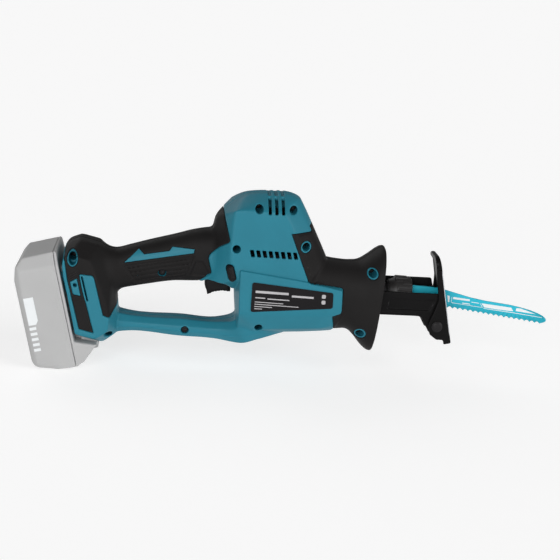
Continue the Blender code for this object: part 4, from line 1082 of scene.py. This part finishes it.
def build_shoe():
    """The work shoe: a slotted, rimmed plate with two ears on the pivot."""
    grid = Grid((-9, -19, -20), (12.5, 19, 68), 0.55)
    face = rounded((
        (-SHOE_HALF, -18.5, 1.5), (SHOE_HALF, -18.5, 1.5), (SHOE_HALF, 65.6, 9), (-SHOE_HALF, 65.6, 9)), 8)
    inner = rounded(((-15.6, -60, 0), (15.6, -60, 0), (15.6, 60.5, 6.6), (-15.6, 60.5, 6.6)), 8)
    front = ((SHOE_FACE, -30), (SHOE_FACE, 80), (6.8, 80))
    ear = ((4.6, 25, 8), (-1.2, 14.5, 6), (-7.6, 4, 4), (-7.6, -6.6, 3.5), (-2, -12.6, 3),
           (4.4, -14, 2), (4.4, -30))
    near = grid.outline(rounded(front + ((6.8, 66, 6), (6, 54, 8)) + ear))
    far = grid.outline(rounded(front + ((6.8, 61, 3), (8.8, 57, 3), (8.6, 42, 5), (7.2, 35, 4)) + ear))
    form = smooth_max(outline_distance(grid.y, grid.z, face), np.where(grid.y < 0, near, far), 1)
    toe = 0.0032 * np.maximum(0, grid.z - 48) ** 2
    form = smooth_max(form, grid.x - SHOE_FACE + toe, 2.8)
    hollow = overlap(outline_distance(grid.y, grid.z, inner), grid.x - SHOE_FACE + SHOE_PLATE)
    form = carve(form, hollow, 1)
    slot = capsule(grid.y, grid.z, (0, 6.5), (0, 44.5), 3.6)
    form = carve(form, overlap(slot, -grid.x), 0.8)
    relief = boxed(grid.x, -grid.y, grid.z, (5.4, 16.9, 53), (11.6, 19, 57))
    form = carve(form, relief, 0.6)
    form = carve(form, grid.around(0, 0) - 3.8, 0.4)
    from_field("work_shoe", form, grid, COATED, 0.5, "shoe", "black_steel", "shoe", matrix=shoe_frame())
    # Bright steel bars along the plate's front edges: a painted highlight.
    highlight_edges = []
    for side, _ in SIDES:
        points = [(SHOE_FACE - 1.3, side * (SHOE_HALF - 0.5), 53 - 5 * step) for step in range(14)]
        highlight_edges.append([tuple(shoe_frame() @ Vector(point)) for point in points])
    tubes("painted_highlight_shoe_edges", highlight_edges, 0.45, STEEL, "shoe", "black_steel")
    half = [(-19.8, 0), (-19.8, 2.9), (-19.6, 3.7), (-19.1, 4.4), (-18.7, 5.1), (-18.3, 5.1), (-18.3, 3.5)]
    profile = half + [(-along, radius) for along, radius in reversed(half)]
    lathe("shoe_rivet", profile, SHOE_PIVOT, OXIDE, "saw_body", "black_steel", "shoe_pin")


def build_lamp():
    grid = Grid((-9.2, -5.6, -31), (-5.4, 5.6, -24), 0.3)
    form = grid.box((-8.5, -5, -30.3), (-6.2, 5, -24.7))
    form = smooth_max(form, grid.x + 6.2 + 0.05 * grid.y ** 2, 0.8)
    form = form + 0.15 * (1 + np.cos(grid.y * (2 * math.pi / 1.6))) * step_up(grid.x + 7.4, 0.6)
    from_field("lamp_window", form, grid, GLINT_WHITE_LENS, 1, "saw_body", "clear_plastic", "lamp_lens")


# ---- battery

def battery_form(grid):
    """The battery's block in its own frame: x towards the saw, z up along the interface."""
    side_view = rounded((
        (-42.2, -50, 9), (-42.2, 31, 8), (-38.5, 44, 8), (-31, 50.5, 4), (-0.3, 51.8, 2),
        (-0.3, -55.9, 2), (-20, -55.9, 6)), 6)
    outward = np.abs(grid.y) - BATTERY_HALF
    width = 1 + 5 * step_up(-6 - grid.x, 20)
    form = smooth_max(grid.outline(side_view), outward, width)
    form = smooth_max(form, outward * 0.9 + (grid.z - 39) * 0.4, 0.9)
    return smooth_max(form, outward * 0.62 + (-38 - grid.x) * 0.78, 2)


def build_battery():
    lean = battery_frame()
    grid = Grid((-43, -38.5, -57), (20.5, 38.5, 53), 0.75)
    x, y, z = grid.x, grid.y, grid.z
    block = battery_form(grid)
    across = np.abs(y)
    hollow = smooth_max(block + 2.4, x + 1.4, 1)
    groove = overlap(np.abs(across - BATTERY_HALF) - 0.6, np.abs(x + 5.2) - 0.25, z - 38, -47 - z)
    case = smooth_max(block + 0.1, x - BATTERY_SEAM + 0.3, 0.5)
    case = carve(overlap(case, -hollow), groove, 0.3)
    from_field("battery_tub", case, grid, GREY, 0.4, "battery", "battery_plastic", "battery_case",
               matrix=lean)

    cover = smooth_max(block, BATTERY_SEAM - x, 0.5)
    for low, high in (((-1, -20.7, -45), (6, 20.7, 34)), ((5.2, -24.3, -30), (12.6, 24.3, 34)),
                      ((5.2, -24.3, -30), (18.6, 24.3, 8)), ((5.2, -24.3, -45), (18.6, 24.3, -29))):
        cover = smooth_min(cover, grid.box(low, high), 0.6)
    chin = grid.outline([(-2, -31.8), (18.9, -38.9), (5, -52.5), (-2, -55.7)])
    cover = smooth_min(cover, smooth_max(chin, across - BATTERY_HALF, 2), 0.8)
    cover = overlap(cover, -hollow)
    cover = carve(cover, boxed(x, np.abs(across - 13), z, (4.5, -1, 12), (20, 1.2, 60)), 0.5)
    cover = carve(cover, grid.box((5, -12.3, -60), (16.5, 12.3, -38.6)), 0.6)
    from_field("battery_front", cover, grid, GREY, 0.4, "battery", "battery_plastic", "battery_cover",
               matrix=lean)

    fine = Grid((5.8, -12.6, -51.2), (16.4, 12.6, -41.6), 0.4)
    outline = [(6.5, -42.2), (15.6, -42.2), (14, -44.4), (6.5, -50.5)]
    form = smooth_max(fine.outline(outline), np.abs(fine.y) - 12, 1.6)
    form = form + 0.25 * (1 + np.cos(fine.y * (2 * math.pi / 3))) * step_up(-44.5 - fine.z, 1)
    from_field("release_button", form, fine, GREY, 1, "battery_latch", "battery_plastic",
               "battery_button", matrix=lean)

    shapes = [[(-36.6, 15), (-27.8, 15), (-27.8, -7), (-30, -10.4), (-36.6, -10.4)]]
    for row in range(5):
        high, low = -12.4 - 5 * row, -15 - 5 * row
        shapes.append([(-36.6, high), (-30.6, high), (-30.6, low), (-36.6, low)])
    leaned = [[tuple((lean @ Vector((u, 0, v))).xz) for u, v in shape] for shape in shapes]
    for side, word in SIDES:
        plates("battery_band_" + word, leaned, side * 37.2, side * 37.55, PAINT, "battery",
               "battery_plastic")


# ---- the frame's own parts

def finish_frame_parts():
    """Gives each CAD node that stays the finish of its slot."""
    finishes = {
        "steel": STEEL, "dark_steel": OXIDE, "aluminium": CAST, "bronze": BRONZE, "copper": COPPER,
        "black_plastic": BLACK, "board": BOARD, "red_insulation": RED, "black_insulation": BLACK,
        "battery_plastic": GREY, "black_steel": COATED, "clear_plastic": GLINT_WHITE_LENS,
        "housing_plastic": TEAL, "soft_grip": RUBBER, "blade_coating": BLADE,
    }
    for part in frame["record"]["subparts"]:
        mesh = frame["nodes"][part["node"]].data
        mesh.materials.clear()
        # The slider and blade holder take the dark oxide finish in place of their slot's.
        oxide_instead = part["node"] in ("slider", "blade_holder")
        mesh.materials.append(OXIDE if oxide_instead else finishes[part["material_slot"]])


outer_form = build_housing()
build_arrows()
build_fine_lines(outer_form)
build_trigger()
build_lock_button()
build_nameplates()
build_screws()
build_clamp()
build_blade()
build_shoe_holder()
build_shoe()
build_lamp()
build_battery()
finish_frame_parts()

# ---- stage, light and camera

def build_stage():
    floor_z = CAD_BOX[0][2] - 0.0002
    points = [(x, y, floor_z) for x, y in ((-40, -40), (40, -40), (40, 40), (-40, 40))]
    pale = material("pale_floor", (0.5, 0.5, 0.5), 0.9, vary=0.004, specular=0)
    shader = pale.node_tree.nodes["Principled BSDF"]
    shader.inputs["Emission Color"].default_value = (1, 1, 1, 1)
    shader.inputs["Emission Strength"].default_value = 0.62
    mesh_object("floor", points, [(0, 1, 2, 3)], pale)
    world = bpy.data.worlds.new("studio")
    world.use_nodes = True
    background = world.node_tree.nodes["Background"]
    background.inputs["Color"].default_value = (1, 1, 1, 1)
    background.inputs["Strength"].default_value = 0.22
    bpy.context.scene.world = world
    bpy.context.scene.view_settings.view_transform = "Standard"


def soft_sun(name, azimuth, elevation, power):
    """A broad, far light; azimuth 0 shines from the camera's side, positive from the blade's."""
    lamp = bpy.data.lights.new(name, "SUN")
    lamp.energy = power
    lamp.angle = math.radians(40)
    turn, rise = math.radians(azimuth), math.radians(elevation)
    direction = Vector((-math.sin(turn) * math.cos(rise), math.cos(turn) * math.cos(rise), -math.sin(rise)))
    linked(name, lamp).rotation_euler = direction.to_track_quat("-Z", "Y").to_euler()


def build_camera():
    """A long lens in front of the right side, turned about the upright, raised and rolled."""
    azimuth, elevation, roll = (math.radians(angle) for angle in (-5, 14, 3.7))
    camera = bpy.data.cameras.new("camera")
    camera.lens = 85
    camera.sensor_width = 36
    camera.clip_start = 0.05
    turn = Matrix.Rotation(azimuth, 4, "Z") @ Matrix.Rotation(math.pi / 2 - elevation, 4, "X")
    item = linked("camera", camera)
    spot = Matrix.Translation(place((-202.17, -1185.56, 301.50)))
    item.matrix_world = spot @ turn @ Matrix.Rotation(roll, 4, "Z")
    bpy.context.scene.camera = item


build_stage()
for sun in (("key", -14, 12, 2.3), ("front", 62, 20, 1.5), ("back", -150, 35, 0.5)):
    soft_sun(*sun)
build_camera()
